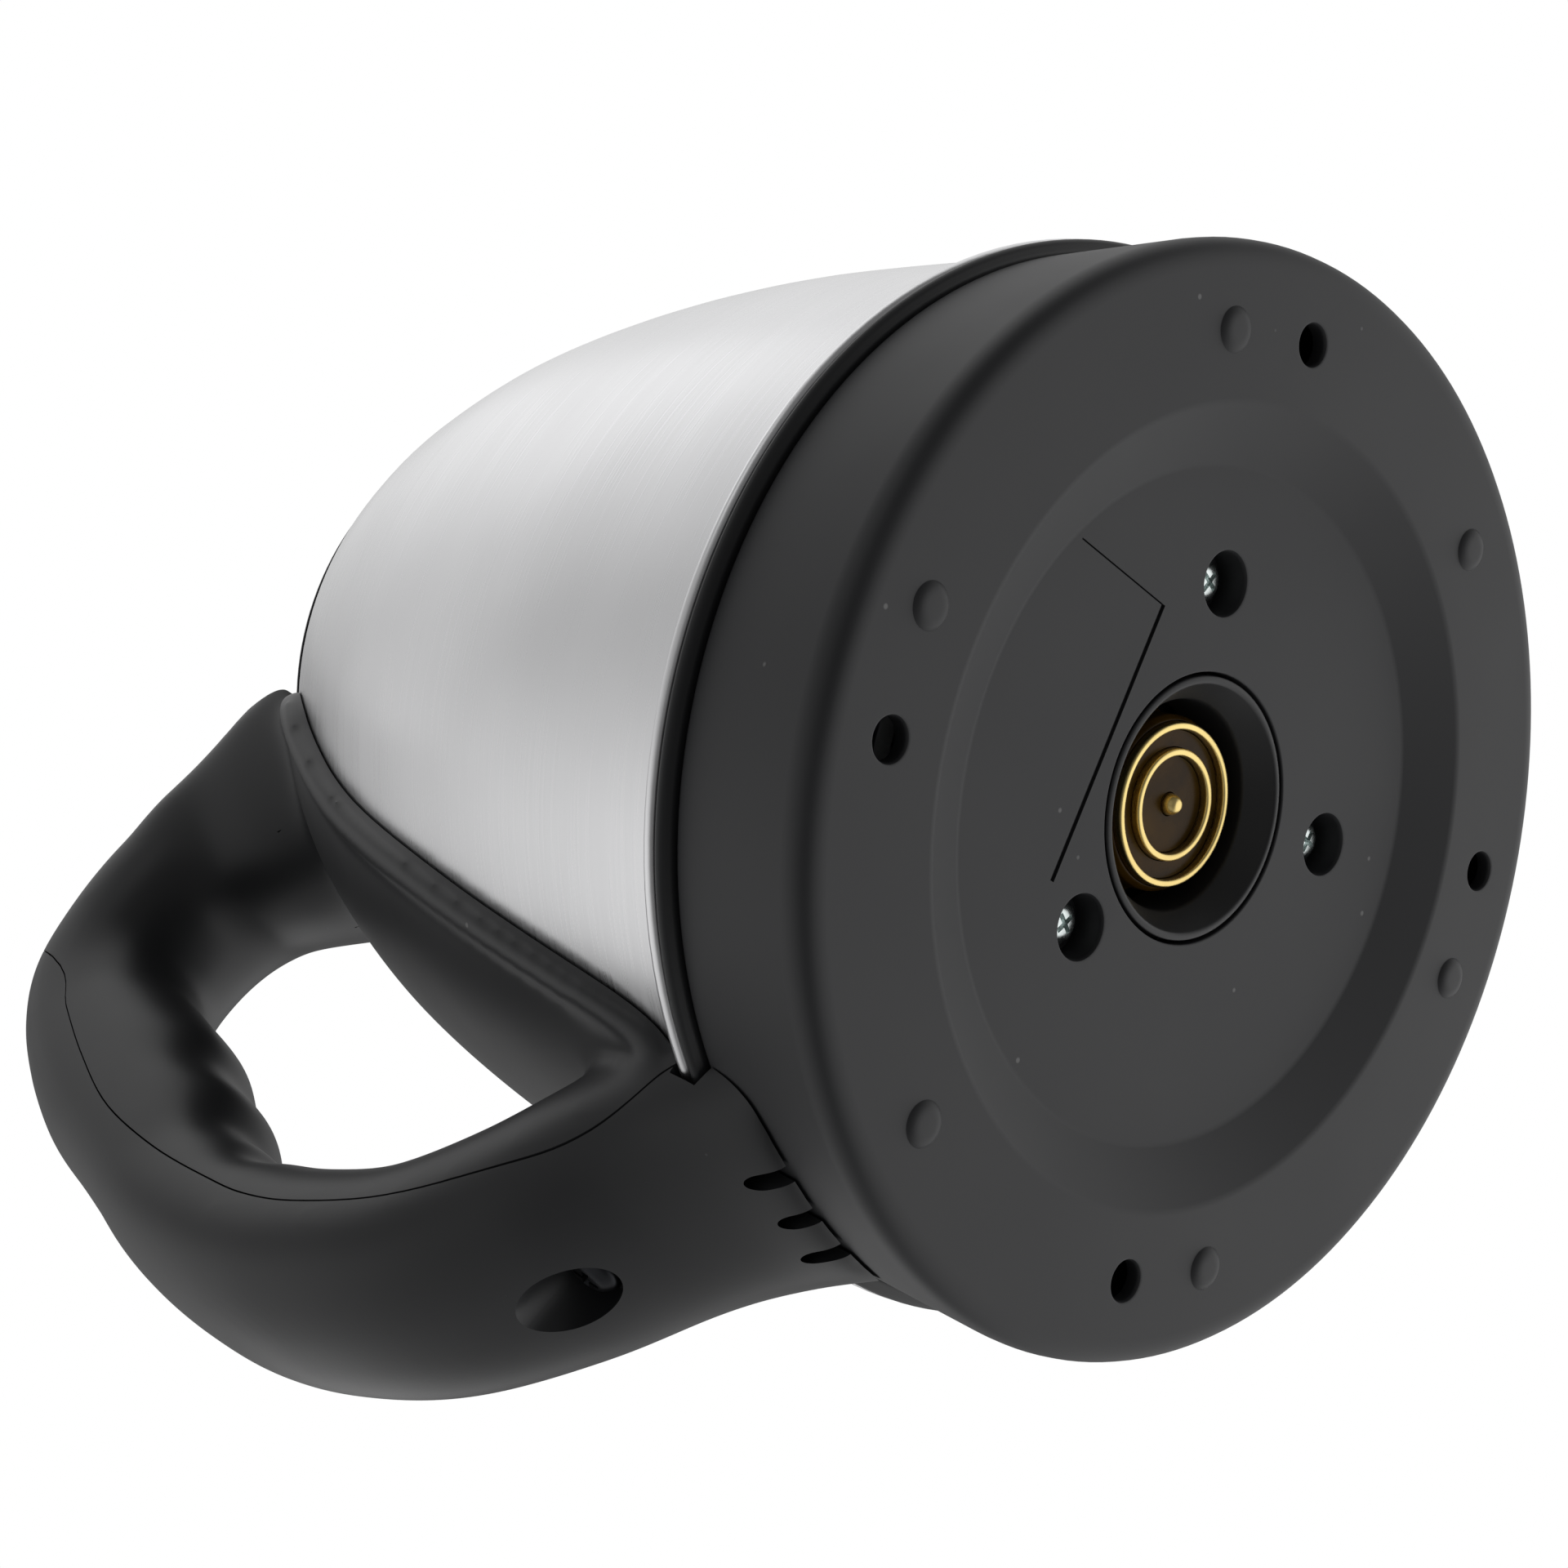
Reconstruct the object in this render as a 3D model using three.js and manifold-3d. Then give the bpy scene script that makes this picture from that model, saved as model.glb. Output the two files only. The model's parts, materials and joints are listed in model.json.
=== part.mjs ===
// Cordless electric kettle with a domed steel body, a loop handle and a round plastic base.
// Millimetres, +Z up. The kettle's axis is vertical, with the handle on -X and the spout on +X.
import * as THREE from "three";
import { mergeVertices } from "three/addons/utils/BufferGeometryUtils.js";
import Module from "manifold-3d";

const wasm = await Module();
wasm.setup();
const { Manifold, Mesh: SolidMesh } = wasm;

// ---------------------------------------------------------------- driving dimensions
const GAP = 0.3; // between pieces that touch
const FOOT_HEIGHT = 0.8; // the base's underside stands this far above the table
const AXIS_X = 25.3; // the kettle's axis, from the middle of the whole object's length
const TURN_STEPS = 34; // steps round a large turned piece
const SMALL_STEPS = 14; // steps round a small turned piece

const BASE_RADIUS = 80.3; // widest radius of the base cover
const BASE_ROUND = 5; // radius of its rounded lower edge
const SKIRT_TOP = 26.7;
const SKIRT_TOP_RADIUS = 77.8;
const BASE_WALL = 2.2;
const RECESS_OUTER = 57.6; // the bevelled ring round the recess
const RECESS_INNER = 48.8;
const RECESS_DEPTH = 4.2;
const RIM_Z = 30.6; // the rolled lower rim of the steel body
const RIM_RADIUS = 79.7;
const STEEL = 0.8;
const MOUTH_Z = 167; // the body's open top
const MOUTH_RADIUS = 44.6;

const HANDLE_WALL = 2.6;
const ROOT_WALL = 2.4; // the handle's wall against the body and the base
const HOLLOW_START = 54.4; // the arm is solid closer to the axis than this
const COLLAR_CLEAR = 47.3; // radius kept free for the collar and the lid
const SPINE_FACE = 2.1; // how far the spine stands off the steel
const SPINE_LIP = 3.7; // how far its raised edge does
const SPINE_LIP_WIDTH = 4.6;

const SOCKET_RADIUS = 19.3;
const HINGE_X = -48; // the lid's hinge line, before the whole is centred
const HINGE_Z = 173.4;
const LID_RADIUS = 41.2;
const BUTTON_X = 16; // the lid button's middle

// ---------------------------------------------------------------- materials
const material = (color, roughness, metalness = 0) =>
  new THREE.MeshStandardMaterial({ color, roughness, metalness });
const BLACK_PLASTIC = material("#26282b", 0.45);
const BASE_PLASTIC = material("#2e3033", 0.55);
const INNER_PLASTIC = material("#1c1d1f", 0.6);
const BRUSHED_STEEL = material("#c9c9cb", 0.3, 1);
const ZINC = material("#b9bcbd", 0.35, 1);
const BRASS = material("#d9a83c", 0.3, 1);
const AMBER_PLASTIC = material("#3a2408", 0.35);
const ALUMINIUM = material("#b4b6b8", 0.5, 1);
const SILICONE = material("#8b8f92", 0.8);
const BIMETAL = material("#a98a5e", 0.4, 1);

// ---------------------------------------------------------------- solids
const DEG = Math.PI / 180;

// A three.js geometry as a solid, whichever way round its faces were.
function solid(geometry) {
  const bare = new THREE.BufferGeometry().setAttribute(
    "position",
    (geometry.index ? geometry.toNonIndexed() : geometry).getAttribute("position"),
  );
  const merged = mergeVertices(bare, 1e-4);
  const build = (triVerts) =>
    new Manifold(
      new SolidMesh({
        numProp: 3,
        vertProperties: merged.attributes.position.array,
        triVerts,
      }),
    );
  const made = build(new Uint32Array(merged.index.array));
  if (made.volume() > 0) return made;
  return build(new Uint32Array(merged.index.array).reverse());
}

// A body turned about the vertical axis from a closed outline of [radius, height].
function turned(outline, steps = TURN_STEPS) {
  const points = outline.map(([r, z]) => new THREE.Vector2(Math.max(r, 0), z));
  const onAxis = points[0].x === 0 && points[points.length - 1].x === 0;
  if (!onAxis) points.push(points[0].clone());
  return solid(new THREE.LatheGeometry(points, steps).rotateX(Math.PI / 2));
}

// A straight cylinder between two heights, at x, y.
function rod(radius, z0, z1, x = 0, y = 0, steps = SMALL_STEPS) {
  const shape = new THREE.CylinderGeometry(radius, radius, z1 - z0, steps);
  return solid(shape.rotateX(Math.PI / 2).translate(x, y, (z0 + z1) / 2));
}

// A cylinder along Y, centred on y = 0.
function pinAlongY(radius, length, x, z, steps = 16) {
  return solid(new THREE.CylinderGeometry(radius, radius, length, steps).translate(x, 0, z));
}

// A cylinder along X from x0 to x1.
function rodAlongX(radius, x0, x1, z, steps = SMALL_STEPS) {
  const shape = new THREE.CylinderGeometry(radius, radius, x1 - x0, steps);
  return solid(shape.rotateZ(Math.PI / 2).translate((x0 + x1) / 2, 0, z));
}

function block(x0, x1, y0, y1, z0, z1) {
  const shape = new THREE.BoxGeometry(x1 - x0, y1 - y0, z1 - z0);
  return solid(shape.translate((x0 + x1) / 2, (y0 + y1) / 2, (z0 + z1) / 2));
}

// A closed skin through rings that all have the same number of points, capped at both ends.
function loft(rings) {
  const size = rings[0].length;
  const centre = (ring) => ring.reduce((sum, p) => sum.add(p), new THREE.Vector3()).divideScalar(size);
  const points = [...rings.flat(), centre(rings[0]), centre(rings[rings.length - 1])];
  const first = rings.length * size;
  const faces = [];
  for (let i = 0; i < rings.length - 1; i++)
    for (let j = 0; j < size; j++) {
      const k = (j + 1) % size;
      const [a, b, c, d] = [i * size + j, i * size + k, (i + 1) * size + k, (i + 1) * size + j];
      faces.push(a, b, c, a, c, d);
    }
  for (let j = 0; j < size; j++) {
    const k = (j + 1) % size;
    const last = (rings.length - 1) * size;
    faces.push(k, j, first, last + j, last + k, first + 1);
  }
  const skin = new THREE.BufferGeometry().setFromPoints(points);
  skin.setIndex(faces);
  return solid(skin);
}

// A plate whose outline is drawn in the Y-Z plane and which runs from x0 to x1.
function plateAlongX(outline, x0, x1) {
  const shape = new THREE.Shape(outline.map(([y, z]) => new THREE.Vector2(y, z)));
  const plate = new THREE.ExtrudeGeometry(shape, { depth: x1 - x0, bevelEnabled: false });
  plate.applyMatrix4(new THREE.Matrix4().set(0, 0, 1, x0, 1, 0, 0, 0, 0, 1, 0, 0, 0, 0, 0, 1));
  return solid(plate);
}

// A plate whose outline is drawn in the X-Z plane and which runs from y0 to y1.
function plateAlongY(outline, y0, y1) {
  const shape = new THREE.Shape(outline.map(([x, z]) => new THREE.Vector2(x, z)));
  const plate = new THREE.ExtrudeGeometry(shape, { depth: y1 - y0, bevelEnabled: false });
  plate.applyMatrix4(new THREE.Matrix4().set(1, 0, 0, 0, 0, 0, -1, y1, 0, 1, 0, 0, 0, 0, 0, 1));
  return solid(plate);
}

// A wire or tube of the given radius along a curve.
function wireAlong(curve, radius, steps, sides = 8) {
  const section = new THREE.Shape();
  for (let i = 0; i < sides; i++) {
    const turn = (i / sides) * 2 * Math.PI;
    const [x, y] = [radius * Math.cos(turn), radius * Math.sin(turn)];
    if (i) section.lineTo(x, y);
    else section.moveTo(x, y);
  }
  section.closePath();
  return solid(new THREE.ExtrudeGeometry(section, { steps, extrudePath: curve, bevelEnabled: false }));
}

// A coil spring standing about its middle.
function coil(radius, wire, turns, length, middle) {
  class Helix extends THREE.Curve {
    getPoint(t, target = new THREE.Vector3()) {
      const angle = t * turns * 2 * Math.PI;
      const [a, b, c] = [radius * Math.cos(angle), radius * Math.sin(angle), (t - 0.5) * length];
      return target.set(a, b, c).add(middle);
    }
  }
  return wireAlong(new Helix(), wire, Math.round(turns * 10), 5);
}

// ---------------------------------------------------------------- the body's outline
const BODY_OUTLINE = [
  [77.3, 31.4],
  [76.6, 50],
  [74.7, 75],
  [70.8, 100],
  [64.8, 125],
  [57.6, 145],
  [52.4, 156],
  [48.2, 163.3],
  [MOUTH_RADIUS, MOUTH_Z],
];
const bodyCurve = new THREE.SplineCurve(BODY_OUTLINE.map(([r, z]) => new THREE.Vector2(r, z)));
const BODY_STEPS = 9;

// The body's outline moved outwards by offset, from the rim up to the mouth.
function bodyOutline(offset) {
  const moved = [];
  for (let i = 0; i <= BODY_STEPS; i++) {
    const point = bodyCurve.getPoint(i / BODY_STEPS);
    const along = bodyCurve.getTangent(i / BODY_STEPS);
    moved.push([point.x + along.y * offset, point.y - along.x * offset]);
  }
  return moved;
}

// The solid inside the body's outline moved by offset, down to the foot of the rim.
function bodyBulk(offset) {
  const side = bodyOutline(offset);
  const top = side[side.length - 1];
  return turned([[0, RIM_Z - 2], [side[0][0], RIM_Z - 2], ...side, [0, top[1]]]);
}

// Everything below the steel body, grown by offset: what the handle must stay out of.
function baseBulk(offset) {
  return turned([
    [0, -5],
    [BASE_RADIUS + offset, -5],
    [BASE_RADIUS + offset, BASE_ROUND],
    [SKIRT_TOP_RADIUS + offset, SKIRT_TOP - 1],
    [RIM_RADIUS + 0.6 + offset, SKIRT_TOP + 0.6],
    [RIM_RADIUS + 0.6 + offset, RIM_Z + 1.4],
    [0, RIM_Z + 1.4],
  ]);
}

// ---------------------------------------------------------------- steel body and its fittings
const SPOUT_FOOT_Z = 124;
const SPOUT_TOP_Z = 169;

// One level of the spout: a rounded V that runs from the body out to its nose.
function spoutRing(level, inset) {
  const z = SPOUT_FOOT_Z + inset * 1.5 + level * (SPOUT_TOP_Z - SPOUT_FOOT_Z - inset * 1.5);
  const nose = 63 + 15 * level ** 0.8 - inset * 1.3;
  const half = 5 + 22 * level ** 0.75 - inset;
  const ring = [];
  const sides = 10;
  for (let i = -sides; i <= sides; i++) {
    const s = i / sides;
    const x = 33 + (nose - 33) * (1 - Math.abs(s) ** 1.9);
    ring.push(new THREE.Vector3(x, half * s, z));
  }
  return ring;
}

function spoutSolid(inset, top) {
  const levels = [0, 0.15, 0.35, 0.6, 0.85, 1];
  const rings = levels.map((level) => spoutRing(level, inset));
  if (top) rings.push(spoutRing(1, inset).map((p) => p.clone().setZ(SPOUT_TOP_Z + top)));
  return loft(rings);
}

function steelBody() {
  const outer = bodyOutline(0);
  const inner = bodyOutline(-STEEL).reverse();
  const rolledRim = [
    [76.6, RIM_Z - 1.2],
    [RIM_RADIUS - 0.4, RIM_Z - 1.2],
    [RIM_RADIUS, RIM_Z - 0.5],
    [RIM_RADIUS - 0.5, RIM_Z + 0.4],
    [78.2, RIM_Z + 0.6],
  ];
  const shell = turned([...rolledRim, ...outer, ...inner, [76.5, RIM_Z + 0.6]]);
  const window = block(40, 70, -12, 12, 142, 161);
  return shell.subtract(window);
}

function spout() {
  return spoutSolid(0, 0)
    .subtract(spoutSolid(1, 8))
    .subtract(bodyBulk(GAP))
    .subtract(rod(COLLAR_CLEAR + 0.1, 160, 200, 0, 0, TURN_STEPS));
}

// A perforated plate inside the pouring window.
function spoutFilter() {
  const plate = bodyBulk(-STEEL - GAP)
    .subtract(bodyBulk(-STEEL - GAP - 1))
    .intersect(block(30, 75, -14, 14, 139, 162.6));
  let holes = plate;
  for (let column = -4; column <= 4; column++) {
    const y = column * 2.6;
    holes = holes.subtract(block(40, 75, y - 0.7, y + 0.7, 143.5, 159.5));
  }
  return holes;
}

// The collar caps the mouth of the body and carries the lid.
function topCollar() {
  const ring = turned([
    [46.9, 165.9],
    [46.2, 167.3],
    [44, 169.6],
    [42, 171.5],
    [41.6, 171.2],
    [41.6, 162.4],
    [42.9, 162.4],
    [42.9, 167.6],
    [44.3, 167.6],
    [45.4, 166.7],
  ]);
  const ears = [-1, 1].map((side) => {
    const y = side * 11.2;
    return block(-51, -44.2, y - 2, y + 2, 167.9, HINGE_Z).add(
      pinAlongY(3, 4, HINGE_X, HINGE_Z).translate(0, y, 0),
    );
  });
  const latchNotch = block(40, 43.3, -5.6, 5.6, 166.6, 180);
  return ring
    .add(ears[0])
    .add(ears[1])
    .subtract(bodyBulk(GAP).subtract(rod(43, 100, 200, 0, 0, TURN_STEPS)))
    .subtract(pinAlongY(1.8, 40, HINGE_X, HINGE_Z))
    .subtract(latchNotch);
}

// ---------------------------------------------------------------- lid
function lidShell() {
  const dome = turned([
    [0, 185.4],
    [13, 184.4],
    [26, 181],
    [36, 176],
    [LID_RADIUS - 0.2, 171.9],
    [LID_RADIUS, 166.4],
    [LID_RADIUS - 2.2, 166.4],
    [LID_RADIUS - 2.4, 171],
    [34.6, 174.1],
    [25.4, 178.8],
    [12.6, 182.1],
    [0, 183],
  ]);
  const knuckle = block(-51, -37, -8.7, 8.7, 171.9, 174.4).add(pinAlongY(3.2, 17.4, HINGE_X, HINGE_Z));
  const underKnuckle = rod(38.8, 160, 176, 0, 0, TURN_STEPS);
  const buttonWell = rod(10.3, 170, 190, BUTTON_X, 0, 24);
  const boltSlot = block(30, 45, -5.3, 5.3, 166, 169.6);
  return dome
    .add(knuckle.subtract(underKnuckle))
    .subtract(pinAlongY(1.8, 40, HINGE_X, HINGE_Z))
    .subtract(buttonWell)
    .subtract(boltSlot);
}

function lidPlate() {
  return turned([
    [0, 163.6],
    [37.4, 163.6],
    [38.2, 164.4],
    [38.2, 166],
    [37.2, 166],
    [37.2, 164.6],
    [0, 164.6],
  ]);
}

function lidSeal() {
  return turned([[38.5, 163.9], [40.9, 163.2], [40.9, 164], [40, 164.6], [40, 166.1], [38.5, 166.1]]);
}

function lidButton() {
  const cap = turned([[0, 184.6], [8.4, 184.2], [9.9, 182.9], [9.9, 178.6], [0, 178.6]], 24);
  const stem = rod(2.2, 170, 179);
  const cam = plateAlongY([[5, 179], [8.6, 179], [8.6, 169.7], [7.6, 169.7], [5, 172.95]], -2, 2);
  return cap.add(stem).add(cam).translate(BUTTON_X, 0, 0);
}

// The spring under the button stands on the lid's steel plate.
function buttonSpring() {
  return coil(3.1, 0.4, 5, 12.6, new THREE.Vector3(BUTTON_X, 0, 171.4));
}

function latchBolt() {
  const nose = [[30, 167], [42.6, 167], [42.6, 167.6], [40.8, 169.4], [30, 169.4]];
  const slider = block(8, 32, -5, 5, 167, 169.4).add(plateAlongY(nose, -5, 5));
  const springWindow = block(11.4, 22.3, -4, 4, 160, 175);
  const camWindow = block(23.3, 28, -2.6, 2.6, 160, 175);
  return slider.subtract(springWindow).subtract(camWindow);
}

// ---------------------------------------------------------------- handle
// Stations of the handle's middle line: [distance from the axis, height, half thickness, half width].
const HANDLE_STATIONS = [
  [25, 149, 9, 30],
  [34.5, 163.5, 11.4, 30],
  [44.6, 179.2, 13.4, 25.4],
  [54.3, 190.4, 12.4, 20.6],
  [65, 195, 11.8, 18.6],
  [78, 194.3, 11.6, 18],
  [87.5, 190, 13, 17.7],
  [94, 182.3, 14, 17.6],
  [98.8, 171.8, 15.4, 17.6],
  [103, 160, 16.2, 17.6],
  [107, 148.1, 15.4, 17.6],
  [111, 137.5, 14.3, 17.6],
  [115.3, 126, 13.3, 17.6],
  [117.2, 113, 13.2, 17.8],
  [116.9, 100.5, 13.9, 18],
  [114.8, 88.5, 14.2, 18.4],
  [108.8, 72.5, 14.1, 19],
  [96.5, 57, 13.8, 20.2],
  [82.5, 44.5, 14, 21.4],
  [73.5, 33, 14, 22.4],
  [67.5, 21, 13.5, 22.6],
];
const SECTION_POWER = 2.35; // a section between an ellipse and a rounded box
const SECTION_TAPER = 0.12; // how much wider the outer side of a section is than its middle
const ROOT_TAPER = 0.62; // how much more so at the upper root, where the arm spreads over the body
const ROOT_END = 0.2;
const SECTION_STEPS = 16;
const GRIP_FIRST = 0.45; // the finger grooves, as shares of the middle line
const GRIP_LAST = 0.7;
const GROOVE_DEPTH = 1.8;

const handleLine = new THREE.CatmullRomCurve3(
  HANDLE_STATIONS.map(([u, z]) => new THREE.Vector3(-u, 0, z)),
  false,
  "centripetal",
);
const handleSize = new THREE.CatmullRomCurve3(
  HANDLE_STATIONS.map(([, , a, b]) => new THREE.Vector3(a, b, 0)),
  false,
  "centripetal",
);

const signedPower = (value, power) => Math.sign(value) * Math.abs(value) ** power;

// How deep the three finger grooves are at a share t of the line.
function grooveAt(t) {
  if (t < GRIP_FIRST || t > GRIP_LAST) return 0;
  const share = (t - GRIP_FIRST) / (GRIP_LAST - GRIP_FIRST);
  return GROOVE_DEPTH * (0.5 - 0.5 * Math.cos(share * 3 * 2 * Math.PI));
}

// The section ring at share t. The first direction points away from the finger loop.
function handleRing(t, inset) {
  const centre = handleLine.getPoint(t);
  const along = handleLine.getTangent(t);
  const outward = new THREE.Vector3(-along.z, 0, along.x).multiplyScalar(-1);
  const { x: thick, y: wide } = handleSize.getPoint(t);
  const taper = SECTION_TAPER + ROOT_TAPER * Math.max(0, 1 - t / ROOT_END);
  const ring = [];
  for (let i = 0; i < SECTION_STEPS; i++) {
    const angle = (i / SECTION_STEPS) * 2 * Math.PI;
    const across = signedPower(Math.cos(angle), 2 / SECTION_POWER);
    const sideways = signedPower(Math.sin(angle), 2 / SECTION_POWER);
    const groove = grooveAt(t) * Math.max(0, -Math.cos(angle));
    ring.push(
      centre
        .clone()
        .addScaledVector(outward, across * (thick - inset - groove))
        .add(new THREE.Vector3(0, sideways * (wide * (1 + taper * across) - inset), 0)),
    );
  }
  return ring;
}

function handleTube(inset, steps) {
  const rings = [];
  for (let i = 0; i <= steps; i++) rings.push(handleRing(i / steps, inset));
  return loft(rings);
}

// The seam between the handle's halves, from the rim of the body round to the top of the handle.
const SEAM = [
  [55, 17],
  [76, 32],
  [88.5, 40.5],
  [97, 50],
  [107, 66.5],
  [113.3, 85],
  [115.3, 97],
  [115.3, 108],
  [114.3, 125.5],
  [111.3, 143.5],
  [105.3, 160],
  [98.5, 175],
  [91, 190],
  [87, 230],
];
// The region on the finger-loop side of the seam, moved outwards by offset.
function loopSide(offset) {
  const points = SEAM.map(([u, z]) => new THREE.Vector2(-u - offset, z - offset * 0.5));
  const seam = new THREE.SplineCurve(points);
  const edge = seam.getPoints(15).map((p) => [p.x, p.y]);
  return plateAlongY([...edge, [10, 230], [10, 20]], -60, 60);
}

// Half the width of the spine at each height.
const SPINE_SIDE = [
  [17, 31.9],
  [24.5, 35],
  [28, 42],
  [30.5, 54],
  [33.4, 73],
  [35.2, 95],
  [35.6, 120],
  [36.6, 142],
  [37, 150],
  [35.5, 158],
  [31.5, 164],
  [28, 167.5],
];

const SPINE_FOOT = 50; // below this height the spine's lip crosses it from side to side

// The spine's outline, narrower by inset, as a plate that crosses the body.
function spineRegion(inset) {
  const lift = (z) => (z < SPINE_FOOT ? inset : 0);
  const points = SPINE_SIDE.map(([y, z]) => new THREE.Vector2(y - inset, z + lift(z)));
  const side = new THREE.SplineCurve(points);
  const edge = side.getPoints(10).map((p) => [p.x, p.y]);
  const mirrored = edge.map(([y, z]) => [-y, z]).reverse();
  return plateAlongX([...edge, ...mirrored], -100, -15);
}

const lidZone = () => rod(COLLAR_CLEAR, 160, 260, 0, 0, TURN_STEPS);
const hingePocket = () => block(-51.4, -30, -13.5, 13.5, 167.6, 260);
const handleOuter = handleTube(0, 25);
const handleInner = handleTube(HANDLE_WALL, 14)
  .subtract(bodyBulk(ROOT_WALL))
  .subtract(baseBulk(ROOT_WALL))
  .subtract(rod(HOLLOW_START, 150, 260, 0, 0, TURN_STEPS));
const SCREW_Z = 45.5; // the handle screw's height
const SCREW_X = -97.5; // where the screw's head sits

// Where the switch pivots: below the middle of the lower arm's upper face.
const SWITCH_SHARE = 0.83;
const SWITCH_DEPTH = 6.5; // from the arm's surface down to the pivot
const switchMiddle = handleLine.getPoint(SWITCH_SHARE);
const switchAlong = handleLine.getTangent(SWITCH_SHARE);
const switchUp = new THREE.Vector3(switchAlong.z, 0, -switchAlong.x).negate();
const switchTurn = new THREE.Matrix4().makeBasis(
  new THREE.Vector3(0, 1, 0).cross(switchUp),
  new THREE.Vector3(0, 1, 0),
  switchUp,
);
const switchPivot = switchMiddle
  .clone()
  .addScaledVector(switchUp, handleSize.getPoint(SWITCH_SHARE).x - SWITCH_DEPTH);

// A shape drawn about the switch's pivot with the arm's surface level, put in its place.
const atSwitch = (shape) =>
  shape.transform(switchTurn.elements).translate(switchPivot.x, switchPivot.y, switchPivot.z);

const ROCKER_LENGTH = 19;
const ROCKER_WIDTH = 11;

function switchRocker() {
  const [x, y] = [ROCKER_LENGTH / 2, ROCKER_WIDTH / 2];
  const cap = plateAlongY([[-x, -1], [x, -1], [x, 6.2], [4, 6.9], [-4, 6.9], [-x, 9.4]], -y, y);
  const arm = block(-1.5, 1.5, -3, 3, -8, 0);
  return atSwitch(cap.add(pinAlongY(2.6, 2 * y, 0, 0)).add(arm).subtract(pinAlongY(1.05, 40, 0, 0)));
}

const rockerPin = () => atSwitch(pinAlongY(1, 2 * 8.4, 0, 0));
const switchWindow = () => atSwitch(block(-12.4, 11.2, -6.1, 6.1, -9, 30));

// Two cheeks hang from the arm's wall and carry the ends of the pin.
function switchCheeks() {
  const cheek = (y0, y1) => block(-3.5, 3.5, y0, y1, -3, SWITCH_DEPTH - 1);
  const pair = cheek(-8.6, -6.4).add(cheek(6.4, 8.6));
  return atSwitch(pair.subtract(pinAlongY(1, 2 * 8.5, 0, 0)));
}

// The steam switch: a box below the rocker with a slot for the rocker's arm.
function steamSwitch() {
  const box = block(-1.8, 9.5, -6, 6, -12.4, -10.2).add(block(-1.8, 7, -5, 5, -10.2, -9.3));
  return atSwitch(box.subtract(block(-1.4, 5, -3.4, 3.4, -11.4, 0)));
}

const largest = (shape) =>
  shape.decompose().reduce((best, piece) => (piece.volume() > best.volume() ? piece : best));

// Clearance for the steel bracket where it passes through the spine.
const bracketDoor = () => block(-92, -70, -9.5, 9.5, SCREW_Z - 8, SCREW_Z + 8);

function handleCore() {
  const spineFace = bodyBulk(SPINE_FACE).intersect(spineRegion(0));
  const spineLip = bodyBulk(SPINE_LIP).intersect(spineRegion(0).subtract(spineRegion(SPINE_LIP_WIDTH)));
  const tube = handleOuter.intersect(loopSide(0));
  const walls = tube
    .add(spineFace.add(spineLip).intersect(loopSide(0)))
    .subtract(handleInner)
    .add(switchCheeks())
    .subtract(bodyBulk(GAP))
    .subtract(baseBulk(GAP))
    .subtract(lidZone())
    .subtract(hingePocket())
    .subtract(switchWindow())
    .subtract(bracketDoor());
  return largest(walls);
}

function handleShell() {
  const boss = rodAlongX(7, -112, SCREW_X + 2, SCREW_Z).intersect(handleOuter);
  let shell = handleOuter
    .subtract(handleInner)
    .add(boss)
    .subtract(rodAlongX(5.5, -130, SCREW_X, SCREW_Z))
    .subtract(rodAlongX(2.2, -120, -80, SCREW_Z))
    .subtract(loopSide(GAP))
    .subtract(bodyBulk(GAP))
    .subtract(baseBulk(GAP));
  // Three vent slots with rounded ends, open at the edge that meets the base.
  for (const y of [-8.2, 0, 8.2]) shell = shell.subtract(ventSlot(y));
  return largest(shell);
}

const VENT_WIDTH = 3.4;
function ventSlot(y) {
  const reach = 2.6; // how far the slot runs out from the base
  const width = VENT_WIDTH / 2;
  const slot = block(-BASE_RADIUS - reach, -70, y - width, y + width, 4, 24);
  return slot.add(rod(width, 4, 24, -BASE_RADIUS - reach, y, 16));
}

// The steel bracket welded to the body that the handle's screw goes into.
function handleBracket() {
  const plate = bodyBulk(GAP + 1.5)
    .subtract(bodyBulk(GAP))
    .intersect(block(-85, -60, -8.5, 8.5, SCREW_Z - 7, SCREW_Z + 7));
  const post = rodAlongX(4.6, -93.5, -77.6, SCREW_Z);
  return plate.add(post).subtract(bodyBulk(GAP)).subtract(rodAlongX(2.2, -100, -79.5, SCREW_Z));
}

// ---------------------------------------------------------------- base
const FEET = 6;
const FEET_TURN = 8.5; // the first foot's angle, in degrees
const DRAINS = 4;
const DRAIN_TURN = 53.5;
const FEATURE_RADIUS = 67.4; // the circle that carries the feet and the drain holes
const COVER_SCREWS = [
  { radius: 27.6, angle: 189 },
  { radius: 31.4, angle: 55.4 },
  { radius: 32.2, angle: -42.6 },
];
const SCREW_WELL_RADIUS = 4.6;
const polar = (radius, angle) => [radius * Math.cos(angle * DEG), radius * Math.sin(angle * DEG)];

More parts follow.
